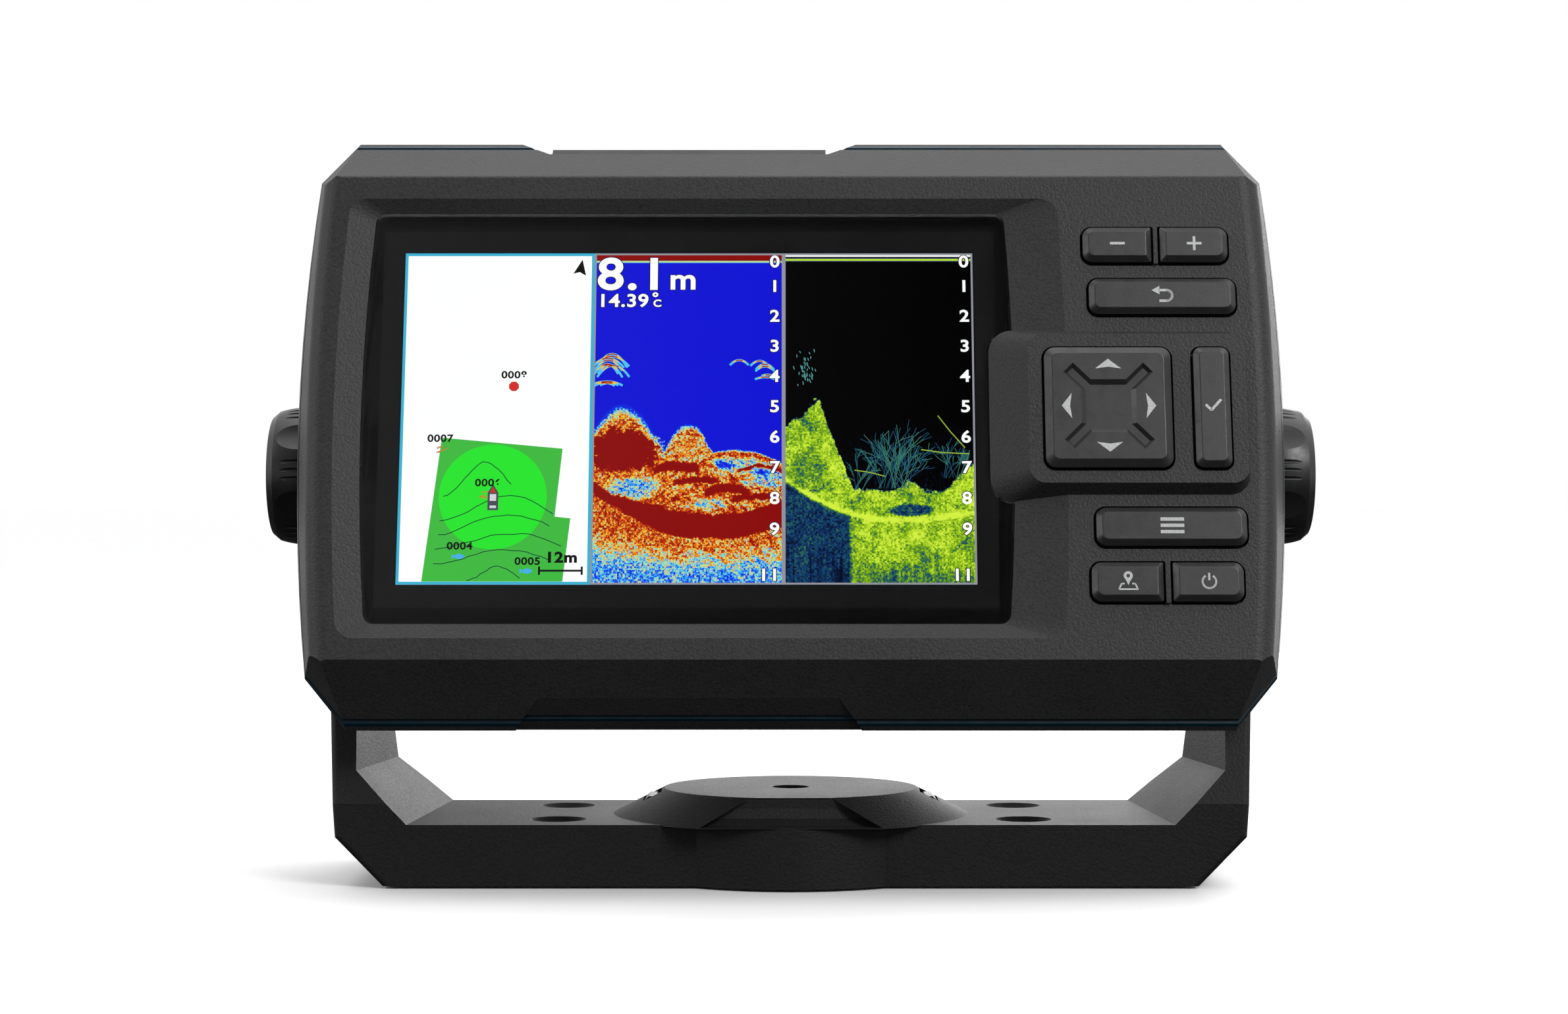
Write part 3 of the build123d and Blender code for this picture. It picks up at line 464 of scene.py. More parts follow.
BLUE = linear(14, 18, 204)
SONAR_COLOURS = ((0.0, BLUE), (0.17, linear(16, 60, 225)), (0.27, linear(50, 170, 250)),
                 (0.38, linear(110, 226, 190)), (0.48, linear(240, 216, 40)), (0.60, linear(232, 104, 14)),
                 (0.74, linear(176, 28, 8)), (0.88, linear(134, 8, 6)))
# In millimetres from the sonar picture's lower left corner.
WEAK_PATCHES = (        # middle x and y, half width, half height, loss of strength
    (7.8, 18.4, 5.4, 2.5, 0.40), (22.4, 15.8, 4.4, 1.1, 0.26),
    (33.2, 20.4, 4.6, 2.2, 0.30), (24.6, 23.0, 2.6, 0.9, 0.26))
STRONG_ARCS = (         # peak x and y, how fast the sides fall, thickness
    (15.8, 22.6, 0.045, 1.1), (25.4, 18.4, 0.040, 1.2), (19.5, 20.2, 0.030, 0.7),
    (31.5, 22.8, 0.060, 0.5), (30.5, 16.8, 0.020, 0.8))


def sonar_picture(left):
    """Sonar returns: soft humps over a hard bottom band, coloured by strength."""
    look = Look("screen_sonar", (0.0, 0.0, 0.0), 0.9, Specular_IOR_Level=0.0)
    x, y, grain = screen_place(look)
    x = x - left
    grain = grain - 0.5
    wave = look.noise(5.0, 3.0) - 0.5
    mottle = look.noise(1.1, 4.0, 0.65) - 0.5
    x_soft, y_soft = x + wave * 1.6, y + wave * 1.8
    first = hump(x_soft, y_soft, 5.7, 35.2, 0.165)
    second = hump(x_soft, y_soft, 17.9, 31.2, 0.26)
    third = hump(x_soft, y_soft, 27.5, 26.2, 0.04)
    bowed = look.vector(x * 0.32, (y + (x - 18.0) * (x - 18.0) * 0.055) * 1.15)
    arcs = look.noise(1.5, 3.0, 0.6, bowed) - 0.5

    # Two humps, then a low rise to their right, over the filled ground below them.
    strength = first.ease(0.0, 3.6, 0.0, 0.66)
    strength = strength.most(second.ease(0.0, 1.4, 0.0, 0.60) + arcs * second.ease(0.2, 1.0, 0.0, 0.8))
    rim = third.ease(0.0, 0.7, 0.0, 0.74) - third.ease(0.9, 2.2, 0.0, 0.36)
    strength = strength.most(rim + arcs * third.ease(0.5, 2.0, 0.0, 0.8))
    body = (y - 22.0 - wave * 3.0).ease(-1.5, 0.5, 1.0, 0.0)
    strength = strength.most(body * (0.66 + arcs * 1.1 + mottle * 0.45))
    for patch_x, patch_y, width, height, loss in WEAK_PATCHES:
        dx, dy = (x_soft - patch_x) / width, (y_soft - patch_y) / height
        strength = strength - (dx * dx + dy * dy).ease(0.1, 1.3, loss, 0.0)
    # The solid core of the first hump, streaks to its right and the hard bottom band.
    core_x, core_y = (x_soft - 5.4) / 8.2, (y_soft - 26.0) / 5.2
    core = core_x * core_x * (1.0 + (y_soft - 24.5) * 0.09) + core_y * core_y
    core = (core + mottle * 1.9).ease(0.55, 1.05, 1.0, 0.0)
    strength = strength.most(core)
    for peak_x, peak_y, spread, thick in STRONG_ARCS:
        near = hump(x_soft, y_soft, peak_x, peak_y, spread).math("ABSOLUTE") + mottle * 1.1
        reach = (x - peak_x).math("ABSOLUTE").ease(3.6, 6.2, 1.0, 0.0)
        strength = strength.most(near.ease(thick * 0.4, thick * 1.5, 0.96, 0.0) * reach)
    sag = (x_soft - 22.5) * (x_soft - 22.5) * 0.0150
    band = (y_soft - (11.1 + sag)).math("ABSOLUTE") + mottle * 1.3
    thinner = (x - 12.0).ease(-10.0, 0.0, 1.3, 0.0)
    strength = strength * (y - (8.4 + sag * 0.4) + mottle * 2.5).ease(-7.5, 0.0, 0.36, 1.0)
    strength = strength.most((band + thinner).ease(2.0, 3.3, 1.0, 0.0))
    # Speckle everywhere but in open water and in the solid returns; then the surface line.
    busy = strength.ease(0.02, 0.2) * strength.ease(0.82, 0.96, 1.0, 0.08)
    strength = strength + grain * busy * 0.66
    surface = (y - (SCREEN_H - 1.55)).ease(-0.08, 0.08)
    surface_line = (y - (SCREEN_H - 1.75)).math("ABSOLUTE").ease(0.1, 0.2, 0.5, 0.0)
    strength = strength.most(surface).most(surface_line * (1.0 - surface))
    look.set(**{"Emission Color": strength.ramp(*SONAR_COLOURS), "Emission Strength": SCREEN_GLOW})
    return look.material


SCAN_COLOURS = ((0.0, (0.0, 0.0, 0.0)), (0.12, linear(4, 14, 40)), (0.3, linear(14, 58, 112)),
                (0.44, linear(28, 92, 74)), (0.58, linear(84, 136, 20)), (0.76, linear(146, 190, 22)),
                (0.95, linear(206, 234, 64)))


def scan_picture(left):
    """Fine down-looking scan: a steep hump on the left over a bright rolling bottom."""
    look = Look("screen_scan", (0.0, 0.0, 0.0), 0.9, Specular_IOR_Level=0.0)
    x, y, grain = screen_place(look)
    x = x - left
    rough = look.noise(1.3, 4.0, 0.65) - 0.5
    lumps = look.noise(4.5, 3.0) - 0.5
    rise = (x - 5.6).least(0.0)
    fall = (x - 6.6).most(0.0)
    cliff = 35.6 + rise * 0.95 - fall * 2.75 + rough * 3.2 + lumps * 4.5 - y
    knoll = (x - 23.5).math("ABSOLUTE").ease(0.0, 3.0, 1.6, 0.0)
    bank = (x - 35.0).ease(-5.5, 0.0, 0.0, 4.6)
    bottom = 18.3 + knoll + bank + rough * 3.2 + lumps * 1.6 - y
    # How deep a point lies under the hump and under the bottom sets its strength.
    hill = cliff.ease(0.0, 0.5, 0.0, 0.74) - cliff.ease(5.0, 14.0, 0.0, 0.14)
    bed = bottom.ease(0.0, 0.5, 0.0, 0.74)
    strength = hill.most(bed)
    strength = strength + lumps * strength * 1.2 + rough * strength * 1.1
    # A bright vein under the surface, the hump's dark shadow below it and a hollow on the right.
    vein_y = 12.4 + (x - 20.0).least(0.0) * (x - 20.0).least(0.0) * 0.020 + (x - 26.0).most(0.0) * 0.13
    vein = (y - vein_y + rough * 0.8).math("ABSOLUTE").ease(0.15, 0.9, 0.30, 0.0)
    strength = strength + vein
    shadow = (x - 12.4 + rough * 0.8).ease(-0.5, 0.5, 1.0, 0.0) * (y - vein_y).ease(-1.2, 0.2, 1.0, 0.0)
    strength = strength * (1.0 - shadow * 0.66)
    hollow_x, hollow_y = (x - 23.6) / 4.2, (y - 14.2) / 1.3
    hollow = (hollow_x * hollow_x + hollow_y * hollow_y).ease(0.5, 1.2, 0.42, 0.0)
    strength = strength - hollow
    strength = strength * y.ease(-6.0, 8.0, 0.45, 1.0)
    streaks = look.noise(1.0, 2.0, 0.6, look.stretched(1.6, 0.10, 1.0)) - 0.5
    strength = strength + streaks * (10.0 - y).ease(0.0, 6.0, 0.0, 0.5)
    strength = strength + (grain - 0.5) * strength.ease(0.05, 0.3, 0.0, 0.55)
    # Faint weeds and specks in the open water, then the two lines of the surface.
    weeds = look.noise(0.8, 3.0, 0.7, look.stretched(1.5, 0.28, 1.0))
    stand = (weeds.ease(0.52, 0.68) * (30.0 - y).ease(-2.0, 8.0) * (x - 12.0).ease(-1.0, 1.0)) * 0.22
    water = cliff.ease(-0.4, 0.0, 1.0, 0.0) * bottom.ease(-0.4, 0.0, 1.0, 0.0)
    specks = grain.ease(0.986, 0.996, 0.0, 0.22)
    strength = strength + (stand * grain.ease(0.2, 0.9) + specks) * water
    sky = (y - (SCREEN_H - 0.75)).ease(-0.05, 0.05)
    line = (y - (SCREEN_H - 1.35)).math("ABSOLUTE").ease(0.22, 0.3, 0.86, 0.0)
    strength = strength.most(line)
    colour = strength.ramp(*SCAN_COLOURS)
    mix = look.tree.nodes.new("ShaderNodeMix")
    mix.data_type = "RGBA"
    connect(look.tree, sky, mix.inputs[0])
    look.tree.links.new(colour, mix.inputs[6])
    mix.inputs[7].default_value = (0.9, 0.9, 0.9, 1.0)
    look.set(**{"Emission Color": mix.outputs[2], "Emission Strength": SCREEN_GLOW})
    return look.material


def at(s, t):
    """A point of the screen from shares of its width and height, in the head's millimetres."""
    return SCREEN_X + s * SCREEN_W, SCREEN_Y + t * SCREEN_H


CAP_SHARE = 0.665                               # height of a capital as a share of the font's size
BOLDNESS, HALO = 0.028, 0.14                    # share of the height, and millimetres
LETTER_SPACE, LETTER_WIDTH = 1.08, 1.16


def screen_text(name, body, s, t, cap, finish, side="LEFT", halo=None, number=9, weight=0.02):
    """Plain figures on the screen, cap millimetres high, with an optional darker outline."""
    def one(suffix, material, spread, depth):
        curve = bpy.data.curves.new(name + suffix, "FONT")
        curve.body, curve.size, curve.align_x = body, cap / CAP_SHARE * MM, side
        curve.offset, curve.extrude = (spread + weight + cap * BOLDNESS) * MM, FILM * MM
        curve.space_character = LETTER_SPACE
        curve.materials.append(material)
        obj = bpy.data.objects.new(name + suffix, curve)
        bpy.context.scene.collection.objects.link(obj)
        x, y = at(s, t)
        spot = Matrix.Translation((x * MM, y * MM, depth * MM))
        obj.matrix_world = HEAD @ spot @ Matrix.Diagonal((LETTER_WIDTH, 1, 1, 1))
        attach(obj, "head")
    if halo:
        one("_edge", halo, HALO, layer(number) - LIFT)
    one("", finish, 0.0, layer(number))


WHITE = lit("screen_white", (0.95, 0.95, 0.95))
INK = lit("screen_ink", (0.004, 0.004, 0.004))
NAVY = lit("screen_navy", linear(10, 12, 70))
MAP_GREEN = lit("screen_green", linear(62, 180, 62))
BRIGHT_GREEN = lit("screen_bright_green", linear(38, 222, 44))
CONTOUR = lit("screen_contour", linear(16, 60, 44))
MARK_RED = lit("screen_red", linear(205, 45, 35))
MARK_BROWN = lit("screen_brown", linear(190, 120, 50))
MARK_BLUE = lit("screen_blue", linear(70, 170, 230))
BORDER_BLUE = lit("screen_border_blue", linear(58, 168, 200))
BORDER_GREY = lit("screen_border_grey", linear(138, 140, 148))
BOAT_GREY = lit("screen_boat", linear(70, 74, 80))
BOAT_LIGHT = lit("screen_boat_light", linear(205, 208, 212))

THIRDS = (0.0, 0.334, 0.667, 1.0)


def panel_box(index):
    """Left, right, lower and upper edge of one of the three pictures."""
    x0, y0 = at(THIRDS[index], 0.0)
    x1, y1 = at(THIRDS[index + 1], 1.0)
    return x0, x1, y0, y1


def panel_frame(name, index, width, finish):
    """Coloured line around one of the three pictures."""
    x0, x1, y0, y1 = panel_box(index)
    sides = [box_outline(x0, x1, y0, y0 + width), box_outline(x0, x1, y1 - width, y1),
             box_outline(x0, x0 + width, y0 + width, y1 - width),
             box_outline(x1 - width, x1, y0 + width, y1 - width)]
    flat_slab(name, sides, layer(11), finish)


def map_picture():
    """Survey chart: a green strip with a bright range circle, depth contours and markers."""
    flat_slab("chart_sheet", [box_outline(*panel_box(0))], layer(0), WHITE)
    strip = [(0.0727, 0.437), (0.0442, 0.009), (0.2866, 0.009), (0.2985, 0.196), (0.2713, 0.201),
             (0.283, 0.404)]
    flat_slab("chart_survey", [[at(s, t) for s, t in strip]], layer(2), MAP_GREEN)
    cx, cy = at(0.1636, 0.26)
    flat_slab("chart_circle", [disc_outline(cx, cy, 10.1, 64)], layer(3), BRIGHT_GREEN)
    random = Random(11)
    lines = []
    for base, from_s, to_s, bend in ((0.262, 0.078, 0.195, 0.10), (0.185, 0.073, 0.268, 0.09),
                                     (0.148, 0.071, 0.262, 0.055), (0.106, 0.066, 0.283, 0.045),
                                     (0.060, 0.064, 0.262, 0.05), (0.012, 0.122, 0.213, 0.045)):
        steps, drift, line = 16, 0.0, []
        for i in range(steps + 1):
            share = i / steps
            drift += random.uniform(-0.0035, 0.0035)
            line.append(at(from_s + (to_s - from_s) * share,
                           base + bend * sin(share * pi * 0.8) ** 2 + drift))
        lines += stroke(line, 0.16)
    flat_slab("chart_contours", lines, layer(4), CONTOUR)

    bx, by = at(0.1640, 0.254)
    hull = [(bx - 1.0, by - 2.2), (bx + 1.0, by - 2.2), (bx + 1.0, by + 1.2), (bx, by + 2.8),
            (bx - 1.0, by + 1.2)]
    flat_slab("chart_boat_hull", [hull], layer(6), BOAT_GREY)
    deck = [box_outline(bx - 0.6, bx + 0.6, by - 1.8, by - 1.3),
            box_outline(bx - 0.6, bx + 0.6, by - 0.4, by + 0.9)]
    flat_slab("chart_boat_deck", deck, layer(7), BOAT_LIGHT)
    flat_slab("chart_boat_bow", [[(bx - 0.55, by + 1.2), (bx + 0.55, by + 1.2), (bx, by + 2.3)]],
              layer(7), MARK_RED)

    ox, oy = at(0.196, 0.592)
    flat_slab("chart_mark_red", [disc_outline(ox, oy, 1.0, 8, pi / 8)], layer(5), MARK_RED)
    twigs = []
    for spot, spots in (((0.0715, 0.400), 7), ((0.1500, 0.266), 5)):
        x, y = at(*spot)
        for _ in range(spots):
            ax, ay = random.uniform(-1.1, 0.4), random.uniform(-0.7, 0.6)
            tip = x + ax + random.uniform(0.6, 1.4), y + ay + random.uniform(-0.5, 0.6)
            twigs += stroke([(x + ax, y + ay), tip], 0.16)
    flat_slab("chart_mark_twigs", twigs, layer(5), MARK_BROWN)
    fish = []
    for spot in ((0.1085, 0.083), (0.2260, 0.040)):
        x, y = at(*spot)
        fish.append([(x + 0.9 * cos(a), y + 0.48 * sin(a)) for a in [2 * pi * i / 18 for i in range(18)]])
        fish.append([(x - 0.8, y), (x - 1.4, y + 0.5), (x - 1.4, y - 0.5)])
    flat_slab("chart_mark_fish", fish, layer(5), MARK_BLUE)
    labels = (("0008", 0.196, 0.617), ("0007", 0.070, 0.425), ("0006", 0.1545, 0.292),
              ("0004", 0.1085, 0.104), ("0005", 0.2260, 0.059))
    for index, (number, s, t) in enumerate(labels):
        screen_text(f"chart_label_{index}", number, s, t, 1.3, INK, "CENTER", None, 8)

    nx, ny = at(0.3085, 0.953)
    flat_slab("chart_north", [[(nx - 1.3, ny - 1.0), (nx - 0.1, ny - 0.7), (nx + 0.4, ny + 1.8)],
                              [(nx + 0.4, ny + 1.8), (nx - 0.1, ny - 0.7), (nx + 1.1, ny - 1.4)]],
              layer(5), INK)
    sx, sy = at(0.2445, 0.041)
    ex = at(0.3215, 0.041)[0]
    thin = 0.19
    bar = [box_outline(sx, ex, sy - thin, sy + thin)]
    for end in (sx, ex - 2 * thin):
        bar += [box_outline(end, end + 2 * thin, sy - 0.8, sy - thin),
                box_outline(end, end + 2 * thin, sy + thin, sy + 0.8)]
    flat_slab("chart_scale_bar", bar, layer(6), INK)
    screen_text("chart_scale", "12m", 0.284, 0.066, 1.85, INK, "CENTER", None, 8, 0.06)
    panel_frame("chart_frame", 0, 0.55, BORDER_BLUE)


def arch(cx, cy, half, height, steps=12):
    """Points of one fish arch."""
    across = [2 * i / steps - 1 for i in range(steps + 1)]
    return [(cx + half * share, cy + height * (1 - share ** 2)) for share in across]


# Middle x and y, half width, height and number of arches, in millimetres.
FISH_GROUPS = ((3.2, 41.4, 3.4, 3.0, 7), (31.8, 41.3, 2.6, 1.4, 3), (2.8, 39.0, 3.0, 1.0, 4),
               (28.2, 42.6, 2.0, 1.0, 1), (32.6, 39.6, 2.0, 0.7, 2))


def fish_arches(left, random):
    """Arches of fish over the sonar's bottom: cool edges with a hot core."""
    cool, warm, hot = [], [], []
    for cx, cy, half, height, count in FISH_GROUPS:
        for _ in range(count):
            wide = half * random.uniform(0.55, 1.0)
            x = left + cx + random.uniform(-0.7, 0.7)
            y = SCREEN_Y + cy + (random.uniform(-1.2, 1.2) if count > 1 else 0.0)
            line = arch(x, y, wide, height * random.uniform(0.6, 1.1) * wide / half)
            cool += stroke(line, 0.42)
            warm += stroke(line[2:-2], 0.26)
            hot += stroke(line[4:-4], 0.22)
    flat_slab("sonar_arch_cool", cool, layer(3), lit("screen_cyan", linear(80, 190, 240)))
    flat_slab("sonar_arch_warm", warm, layer(4), lit("screen_yellow", linear(225, 190, 60)))
    flat_slab("sonar_arch_hot", hot, layer(5), lit("screen_dark_red", linear(165, 30, 10)))


def branches(random, x, y, angle, length, lines, depth=0):
    """A twig that forks as it grows, as a scan shows sunken brush."""
    line = [(x, y)]
    for _ in range(5):
        angle += random.uniform(-0.16, 0.16)
        x, y = x + cos(angle) * length / 5, y + sin(angle) * length / 5
        line.append((x, y))
    lines.append(line)
    if depth < 2:
        for _ in range(2):
            px, py = line[random.randint(2, 4)]
            branches(random, px, py, angle + random.uniform(-0.7, 0.7), length * 0.5, lines, depth + 1)


def sunken_brush(left, random):
    """Brush and timber standing on the scan's bottom."""
    faint = []
    for _ in range(26):
        branches(random, left + 20.5 + random.uniform(-3.0, 3.0), SCREEN_Y + 18.5,
                 pi / 2 + random.uniform(-0.7, 0.7), random.uniform(5.5, 10.5), faint)
    for _ in range(7):
        branches(random, left + 14.2 + random.uniform(-1.0, 1.4), SCREEN_Y + 18.0,
                 pi / 2 + random.uniform(-0.5, 0.5), random.uniform(4.0, 7.5), faint)
    for _ in range(9):
        branches(random, left + 33.0 + random.uniform(-3.0, 1.0), SCREEN_Y + 20.5,
                 pi / 2 + random.uniform(-0.9, 0.4), random.uniform(3.0, 6.5), faint)
    logs = (((25.8, 26.0), (30.0, 25.4), (34.8, 25.2)), ((29.0, 32.6), (31.4, 29.4), (34.0, 26.4)),
            ((13.3, 22.0), (16.0, 21.6), (19.0, 20.8)))
    bright = [[(left + x, SCREEN_Y + y) for x, y in log] for log in logs]
    limit = left + 35.0
    quads = [q for line in faint for q in stroke([p for p in line if p[0] < limit], 0.085)]
    flat_slab("scan_brush", quads, layer(3), lit("screen_teal", linear(30, 84, 112)))
    twigs = [q for line in faint[::3] for q in stroke([p for p in line if p[0] < limit], 0.10)]
    flat_slab("scan_twigs", twigs, layer(4), lit("screen_sage", linear(58, 116, 96)))
    flat_slab("scan_timber", [q for line in bright for q in stroke(line, 0.18)], layer(5),
              lit("screen_lime", linear(150, 178, 60)))
    school = []
    for _ in range(46):
        x, y = random.gauss(4.2, 1.0), random.gauss(42.0, 1.9)
        school += stroke([(left + x, SCREEN_Y + y), (left + x + random.uniform(-0.1, 0.2),
                                                     SCREEN_Y + y - random.uniform(0.3, 0.6))], 0.15)
    flat_slab("scan_school", school, layer(5), lit("screen_mist", linear(84, 150, 150)))


def depth_scale(prefix, s, halo):
    """Depth figures down the right edge of a picture."""
    top, pitch = 0.974, 0.0918
    for figure, t in [(n, top - n * pitch) for n in range(10)] + [(11, 0.012)]:
        screen_text(f"{prefix}_{figure}", str(figure), s, min(t, 0.958), 2.15, WHITE, "RIGHT", halo)


def lit_screen():
    map_picture()
    random = Random(5)
    sonar_left, scan_left = at(THIRDS[1], 0)[0], at(THIRDS[2], 0)[0]
    flat_slab("sonar_field", [box_outline(*panel_box(1))], layer(0),
              sonar_picture(THIRDS[1] * SCREEN_W))
    fish_arches(sonar_left, random)
    flat_slab("scan_field", [box_outline(*panel_box(2))], layer(0),
              scan_picture(THIRDS[2] * SCREEN_W))
    sunken_brush(scan_left, random)
    panel_frame("sonar_frame", 1, 0.36, BORDER_GREY)
    panel_frame("scan_frame", 2, 0.36, BORDER_GREY)
    screen_text("sonar_depth_now", "8.1", 0.3385, 0.890, 5.9, WHITE, halo=NAVY)
    screen_text("sonar_depth_unit", "m", 0.4655, 0.890, 3.9, WHITE, halo=NAVY)
    screen_text("sonar_water_now", "14.39", 0.3395, 0.836, 2.35, WHITE, halo=NAVY)
    screen_text("sonar_water_degree", "°", 0.4350, 0.845, 2.0, WHITE, halo=NAVY)
    screen_text("sonar_water_unit", "C", 0.4375, 0.836, 1.3, WHITE, halo=NAVY)
    depth_scale("sonar_depth", 0.6600, NAVY)
    depth_scale("scan_depth", 0.9930, INK)


lit_screen()


PRINT_GAP, PRINT_THICK, PRINT_CLEAR = 0.01, 0.02, 0.3    # millimetres; the last is round the lit screen


def glass_print():
    """Black border printed on the back of the cover glass, round the lit screen."""
    points = [(TO_HEAD @ vert.co) / MM for vert in NODES["cover_glass"].data.vertices]
    back = min(point.z for point in points)
    middle_x, middle_y = at(0.5, 0.5)
    rim = {(round(point.x, 3), round(point.y, 3)) for point in points if point.z < back + 0.01}
    x0, x1 = SCREEN_X - PRINT_CLEAR, SCREEN_X + SCREEN_W + PRINT_CLEAR
    y0, y1 = SCREEN_Y - PRINT_CLEAR, SCREEN_Y + SCREEN_H + PRINT_CLEAR
    halves = []
    for side, inner_y in ((1, y1), (-1, y0)):
        half = sorted((point for point in rim if side * (point[1] - middle_y) > 0),
                      key=lambda point: side * atan2(point[1] - middle_y, point[0] - middle_x))
        half = [(half[0][0], middle_y)] + half + [(half[-1][0], middle_y)]
        halves.append(half + [(x0, middle_y), (x0, inner_y), (x1, inner_y), (x1, middle_y)])
    ink = smooth_plastic("glass_ink", linear(5, 5, 6), 0.5, 0.2)
    flat_slab("glass_print", halves, back - PRINT_GAP - PRINT_THICK, ink, PRINT_THICK)


glass_print()


# ---- Marks printed on the keys -----------------------------------------------------------------
MARK = Look("key_marks", linear(196, 197, 198), 0.5)
MARK.tint(MARK.noise(0.3, 4.0, 0.7).ease(0.25, 0.8), linear(168, 169, 170), linear(214, 215, 216))
MARK.bump(MARK.noise(0.2, 3.0), 0.01)
MARK_PAINT = MARK.material


PAINT = 0.05                                    # millimetres; half of it stands clear of the key


def printed(name, node, outlines):
    """Paint laid over a key's surface: flat outlines in millimetres, dropped onto the key."""
    key = NODES[node]
    surface = BVHTree.FromPolygons([TO_HEAD @ v.co for v in key.data.vertices],
                                   [p.vertices[:] for p in key.data.polygons])
    build = bmesh.new()
    for outline in outlines:
        build.faces.new([build.verts.new((x * MM, y * MM, 0.0)) for x, y in outline])
    bmesh.ops.triangulate(build, faces=build.faces[:])
    for _ in range(2):
        bmesh.ops.subdivide_edges(build, edges=build.edges[:], cuts=1, use_grid_fill=True)
    for vert in build.verts:
        hit = surface.ray_cast(Vector((vert.co.x, vert.co.y, 0.1)), Vector((0, 0, -1)))[0]
        vert.co.z = hit.z + PAINT * MM * 0.5
    extruded = bmesh.ops.extrude_face_region(build, geom=build.faces[:])
    for vert in [g for g in extruded["geom"] if isinstance(g, bmesh.types.BMVert)]:
        vert.co.z += PAINT * MM * 0.5
    bmesh.ops.recalc_face_normals(build, faces=build.faces[:])
    mesh = bpy.data.meshes.new(name)
    build.to_mesh(mesh)
    build.free()
    mesh.materials.append(MARK_PAINT)
    obj = bpy.data.objects.new(name, mesh)
    bpy.context.scene.collection.objects.link(obj)
    obj.matrix_world = HEAD
    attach(obj, key["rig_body"])


def centre_of(node):
    low, high = head_box(node)
    return (low.x + high.x) / 2 / MM, (low.y + high.y) / 2 / MM


def arc_points(x, y, radius, start, end, steps=16):
    return [(x + radius * cos(radians(start + (end - start) * i / steps)),
             y + radius * sin(radians(start + (end - start) * i / steps))) for i in range(steps + 1)]


def key_marks():
    x, y = centre_of("minus_key")
    printed("minus_mark", "minus_key", [box_outline(x - 1.4, x + 1.4, y - 0.25, y + 0.25)])
    x, y = centre_of("plus_key")
    printed("plus_mark", "plus_key", [box_outline(x - 1.4, x + 1.4, y - 0.25, y + 0.25),
                                      box_outline(x - 0.25, x + 0.25, y - 1.4, y - 0.25),
                                      box_outline(x - 0.25, x + 0.25, y + 0.25, y + 1.4)])
    x, y = centre_of("back_key")
    hook = arc_points(x + 0.7, y - 0.15, 1.05, -90, 90, 14)
    line = [(x - 0.6, y - 1.2)] + hook + [(x - 0.7, y + 0.9)]
    printed("back_mark", "back_key", stroke(line, 0.5)
            + [[(x - 0.6, y + 0.05), (x - 0.6, y + 1.75), (x - 2.1, y + 0.9)]])
    x, y = centre_of("menu_key")
    printed("menu_mark", "menu_key", [box_outline(x - 2.2, x + 2.2, bar_y - 0.32, bar_y + 0.32)
                                      for bar_y in (y - 1.2, y, y + 1.2)])
    x, y = centre_of("waypoint_key")
    eye = arc_points(x, y + 0.95, 0.34, -90, 270, 16)
    pin = arc_points(x, y + 0.95, 0.86, -90, 270, 16)
    pin[0] = pin[-1] = (x, y - 0.85)
    pin[1], pin[-2] = (x + 0.34, y - 0.05), (x - 0.34, y - 0.05)
    ring = [[pin[i], pin[i + 1], eye[i + 1], eye[i]] for i in range(16)]
    tile = [(x - 0.75, y - 0.55), (x - 1.25, y - 0.55), (x - 1.75, y - 1.6), (x + 1.75, y - 1.6),
            (x + 1.25, y - 0.55), (x + 0.75, y - 0.55)]
    printed("waypoint_mark", "waypoint_key", ring + stroke(tile, 0.3))
    x, y = centre_of("power_key")
    arc = arc_points(x, y - 0.15, 1.25, 125, 415, 22)
    printed("power_mark", "power_key",
            stroke(arc, 0.38) + [box_outline(x - 0.19, x + 0.19, y + 0.1, y + 1.5)])
    x, y = centre_of("select_key")
    tick = [(x - 1.35, y + 0.15), (x - 0.35, y - 0.85), (x + 1.45, y + 1.15)]
    printed("select_mark", "select_key", stroke(tick, 0.5))
    x, y = centre_of("direction_pad")
    far, tall, wide, dent = 8.15, 1.9, 2.45, 0.35
    triangle = [(-wide, -tall / 2), (0.0, -tall / 2 + dent), (wide, -tall / 2), (0.0, tall / 2)]
    for name, turn, reach in (("up", 0, far), ("left", 90, far - 0.3), ("down", 180, far - 0.2),
                              ("right", 270, far - 0.3)):
        c, s = cos(radians(turn)), sin(radians(turn))
        shape = [(x + (px * c - (py + reach) * s), y + (px * s + (py + reach) * c)) for px, py in triangle]
        printed(f"pad_mark_{name}", "direction_pad", [shape])


key_marks()


# ---- Stage, light and camera -------------------------------------------------------------------
def stage():
    """Seamless pale floor that meets a pale surround."""
    size = 60.0
    mesh = bpy.data.meshes.new("floor")
    corners = [(-size, -size, 0), (size, -size, 0), (size, size, 0), (-size, size, 0)]
    mesh.from_pydata(corners, [], [(0, 1, 2, 3)])
    look = Look("floor", (0.93, 0.93, 0.93), 0.6)
    look.tint(look.noise(40.0, 3.0).ease(0.3, 0.7), (0.92, 0.92, 0.92), (0.94, 0.94, 0.94))
    mesh.materials.append(look.material)
    floor = bpy.data.objects.new("floor", mesh)
    bpy.context.scene.collection.objects.link(floor)
    floor.location.z = CAD_BOX[0][2] - 0.00005
    floor.visible_diffuse = floor.visible_glossy = False


def softbox(name, place, target, width, height, power):
    lamp = bpy.data.lights.new(name, "AREA")
    lamp.shape, lamp.size, lamp.size_y, lamp.energy = "RECTANGLE", width, height, power
    obj = bpy.data.objects.new(name, lamp)
    obj.location = place
    obj.rotation_euler = (Vector(target) - Vector(place)).to_track_quat("-Z", "Y").to_euler()
    obj.visible_camera = False
    bpy.context.scene.collection.objects.link(obj)


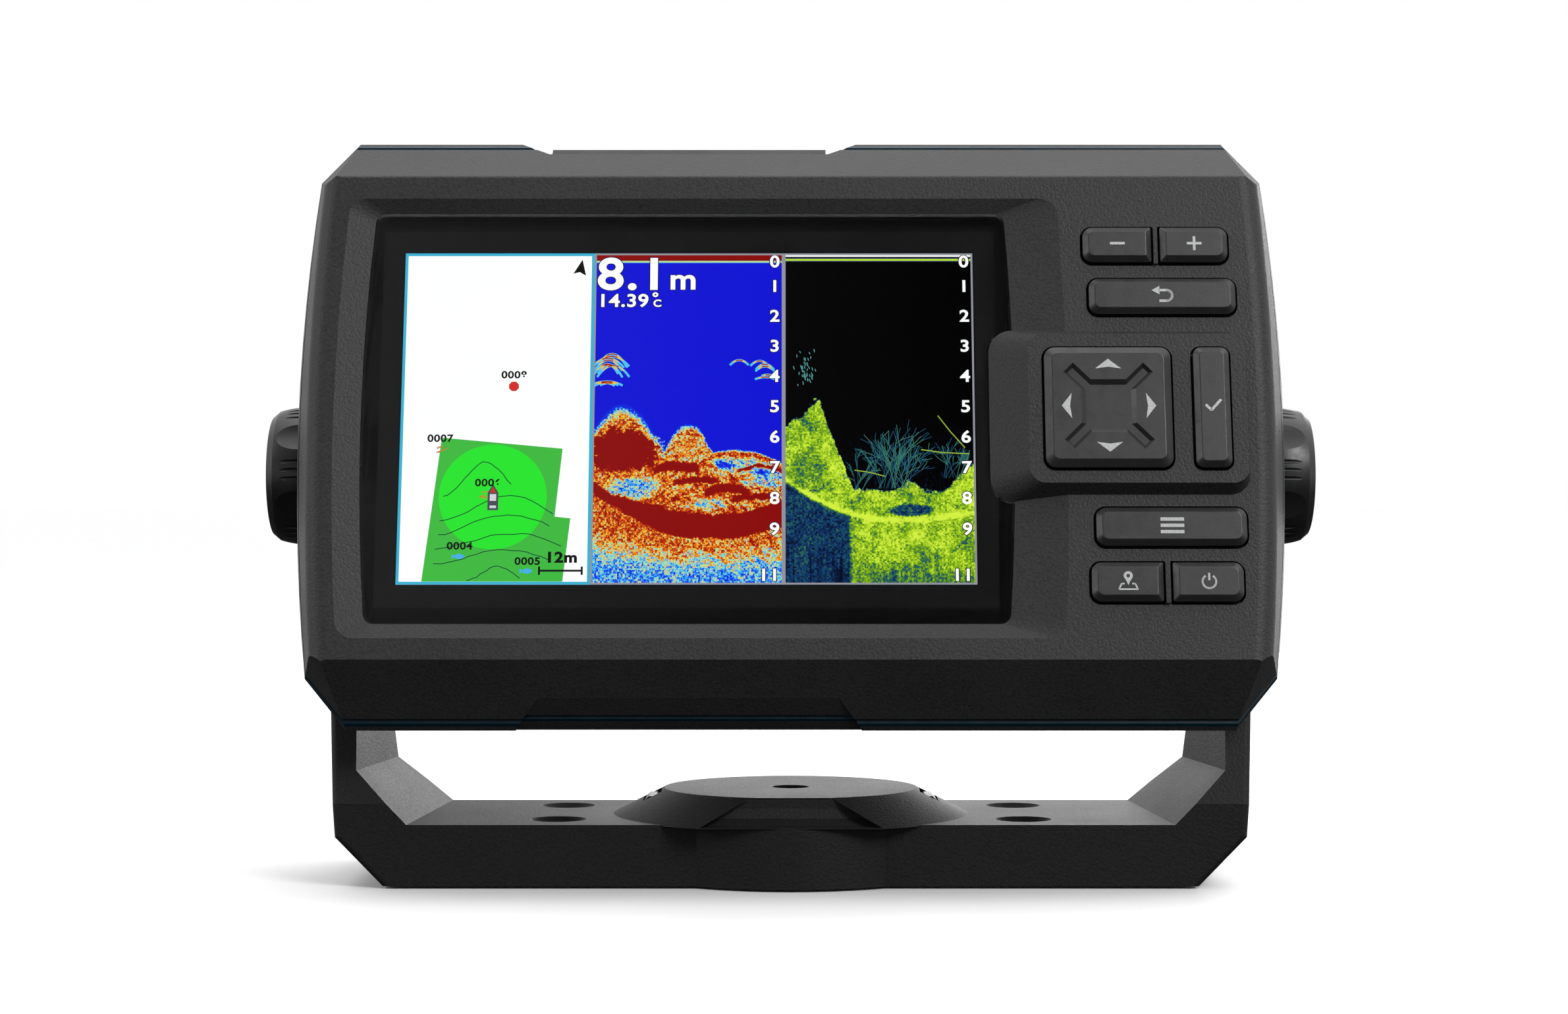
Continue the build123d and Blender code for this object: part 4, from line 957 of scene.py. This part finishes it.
def surround():
    """Pale all round, brighter behind the object than in front of it."""
    world = bpy.data.worlds.new("surround")
    world.use_nodes = True
    tree = world.node_tree
    coordinates = tree.nodes.new("ShaderNodeTexCoord")
    split = tree.nodes.new("ShaderNodeSeparateXYZ")
    tree.links.new(coordinates.outputs["Generated"], split.inputs[0])
    x, y, z = [Value(tree, out) for out in split.outputs]
    ahead = y.ease(-0.5, 0.1, 1.0, 0.0)
    dark_front = (ahead * z.ease(0.12, 0.30)).most(ahead * 0.5)
    background = tree.nodes["Background"]
    background.inputs["Color"].default_value = (1.0, 1.0, 1.0, 1.0)
    shaded = 1.0 - dark_front * x.ease(-0.35, 0.08, 0.74, 0.985)
    connect(tree, shaded * z.ease(-0.16, -0.03, 0.04, 1.0), background.inputs["Strength"])
    bpy.context.scene.world = world


stage()
surround()
MIDDLE = (0.0, 0.0, 0.075)
sky = bpy.data.lights.new("sky_light", "SUN")
sky.energy, sky.angle = 1.2, radians(80)
overhead = bpy.data.objects.new("sky_light", sky)
overhead.rotation_euler = (radians(-6), radians(12), 0.0)
bpy.context.scene.collection.objects.link(overhead)
softbox("top_softbox", (-0.1, 0.05, 0.75), MIDDLE, 0.8, 0.35, 0.6)
softbox("key_softbox", (0.60, -0.80, 0.70), (0.07, 0.0, 0.08), 0.45, 0.45, 8.0)
softbox("back_softbox", (0.25, 0.9, 0.18), MIDDLE, 0.7, 0.4, 3.0)
softbox("left_softbox", (-0.85, -0.25, 0.45), MIDDLE, 0.3, 0.6, 1.6)

SENSOR, LENS = 36.0, 71.06
camera = bpy.data.cameras.new("camera")
camera.sensor_width, camera.lens, camera.clip_start = SENSOR, LENS, 0.01
viewpoint = bpy.data.objects.new("camera", camera)
viewpoint.location = (-0.0013, -0.6088, 0.072)
viewpoint.rotation_euler = (radians(90), 0.0, 0.0)
bpy.context.scene.collection.objects.link(viewpoint)
bpy.context.scene.camera = viewpoint
bpy.context.scene.view_settings.view_transform = "Standard"

bpy.context.view_layer.update()
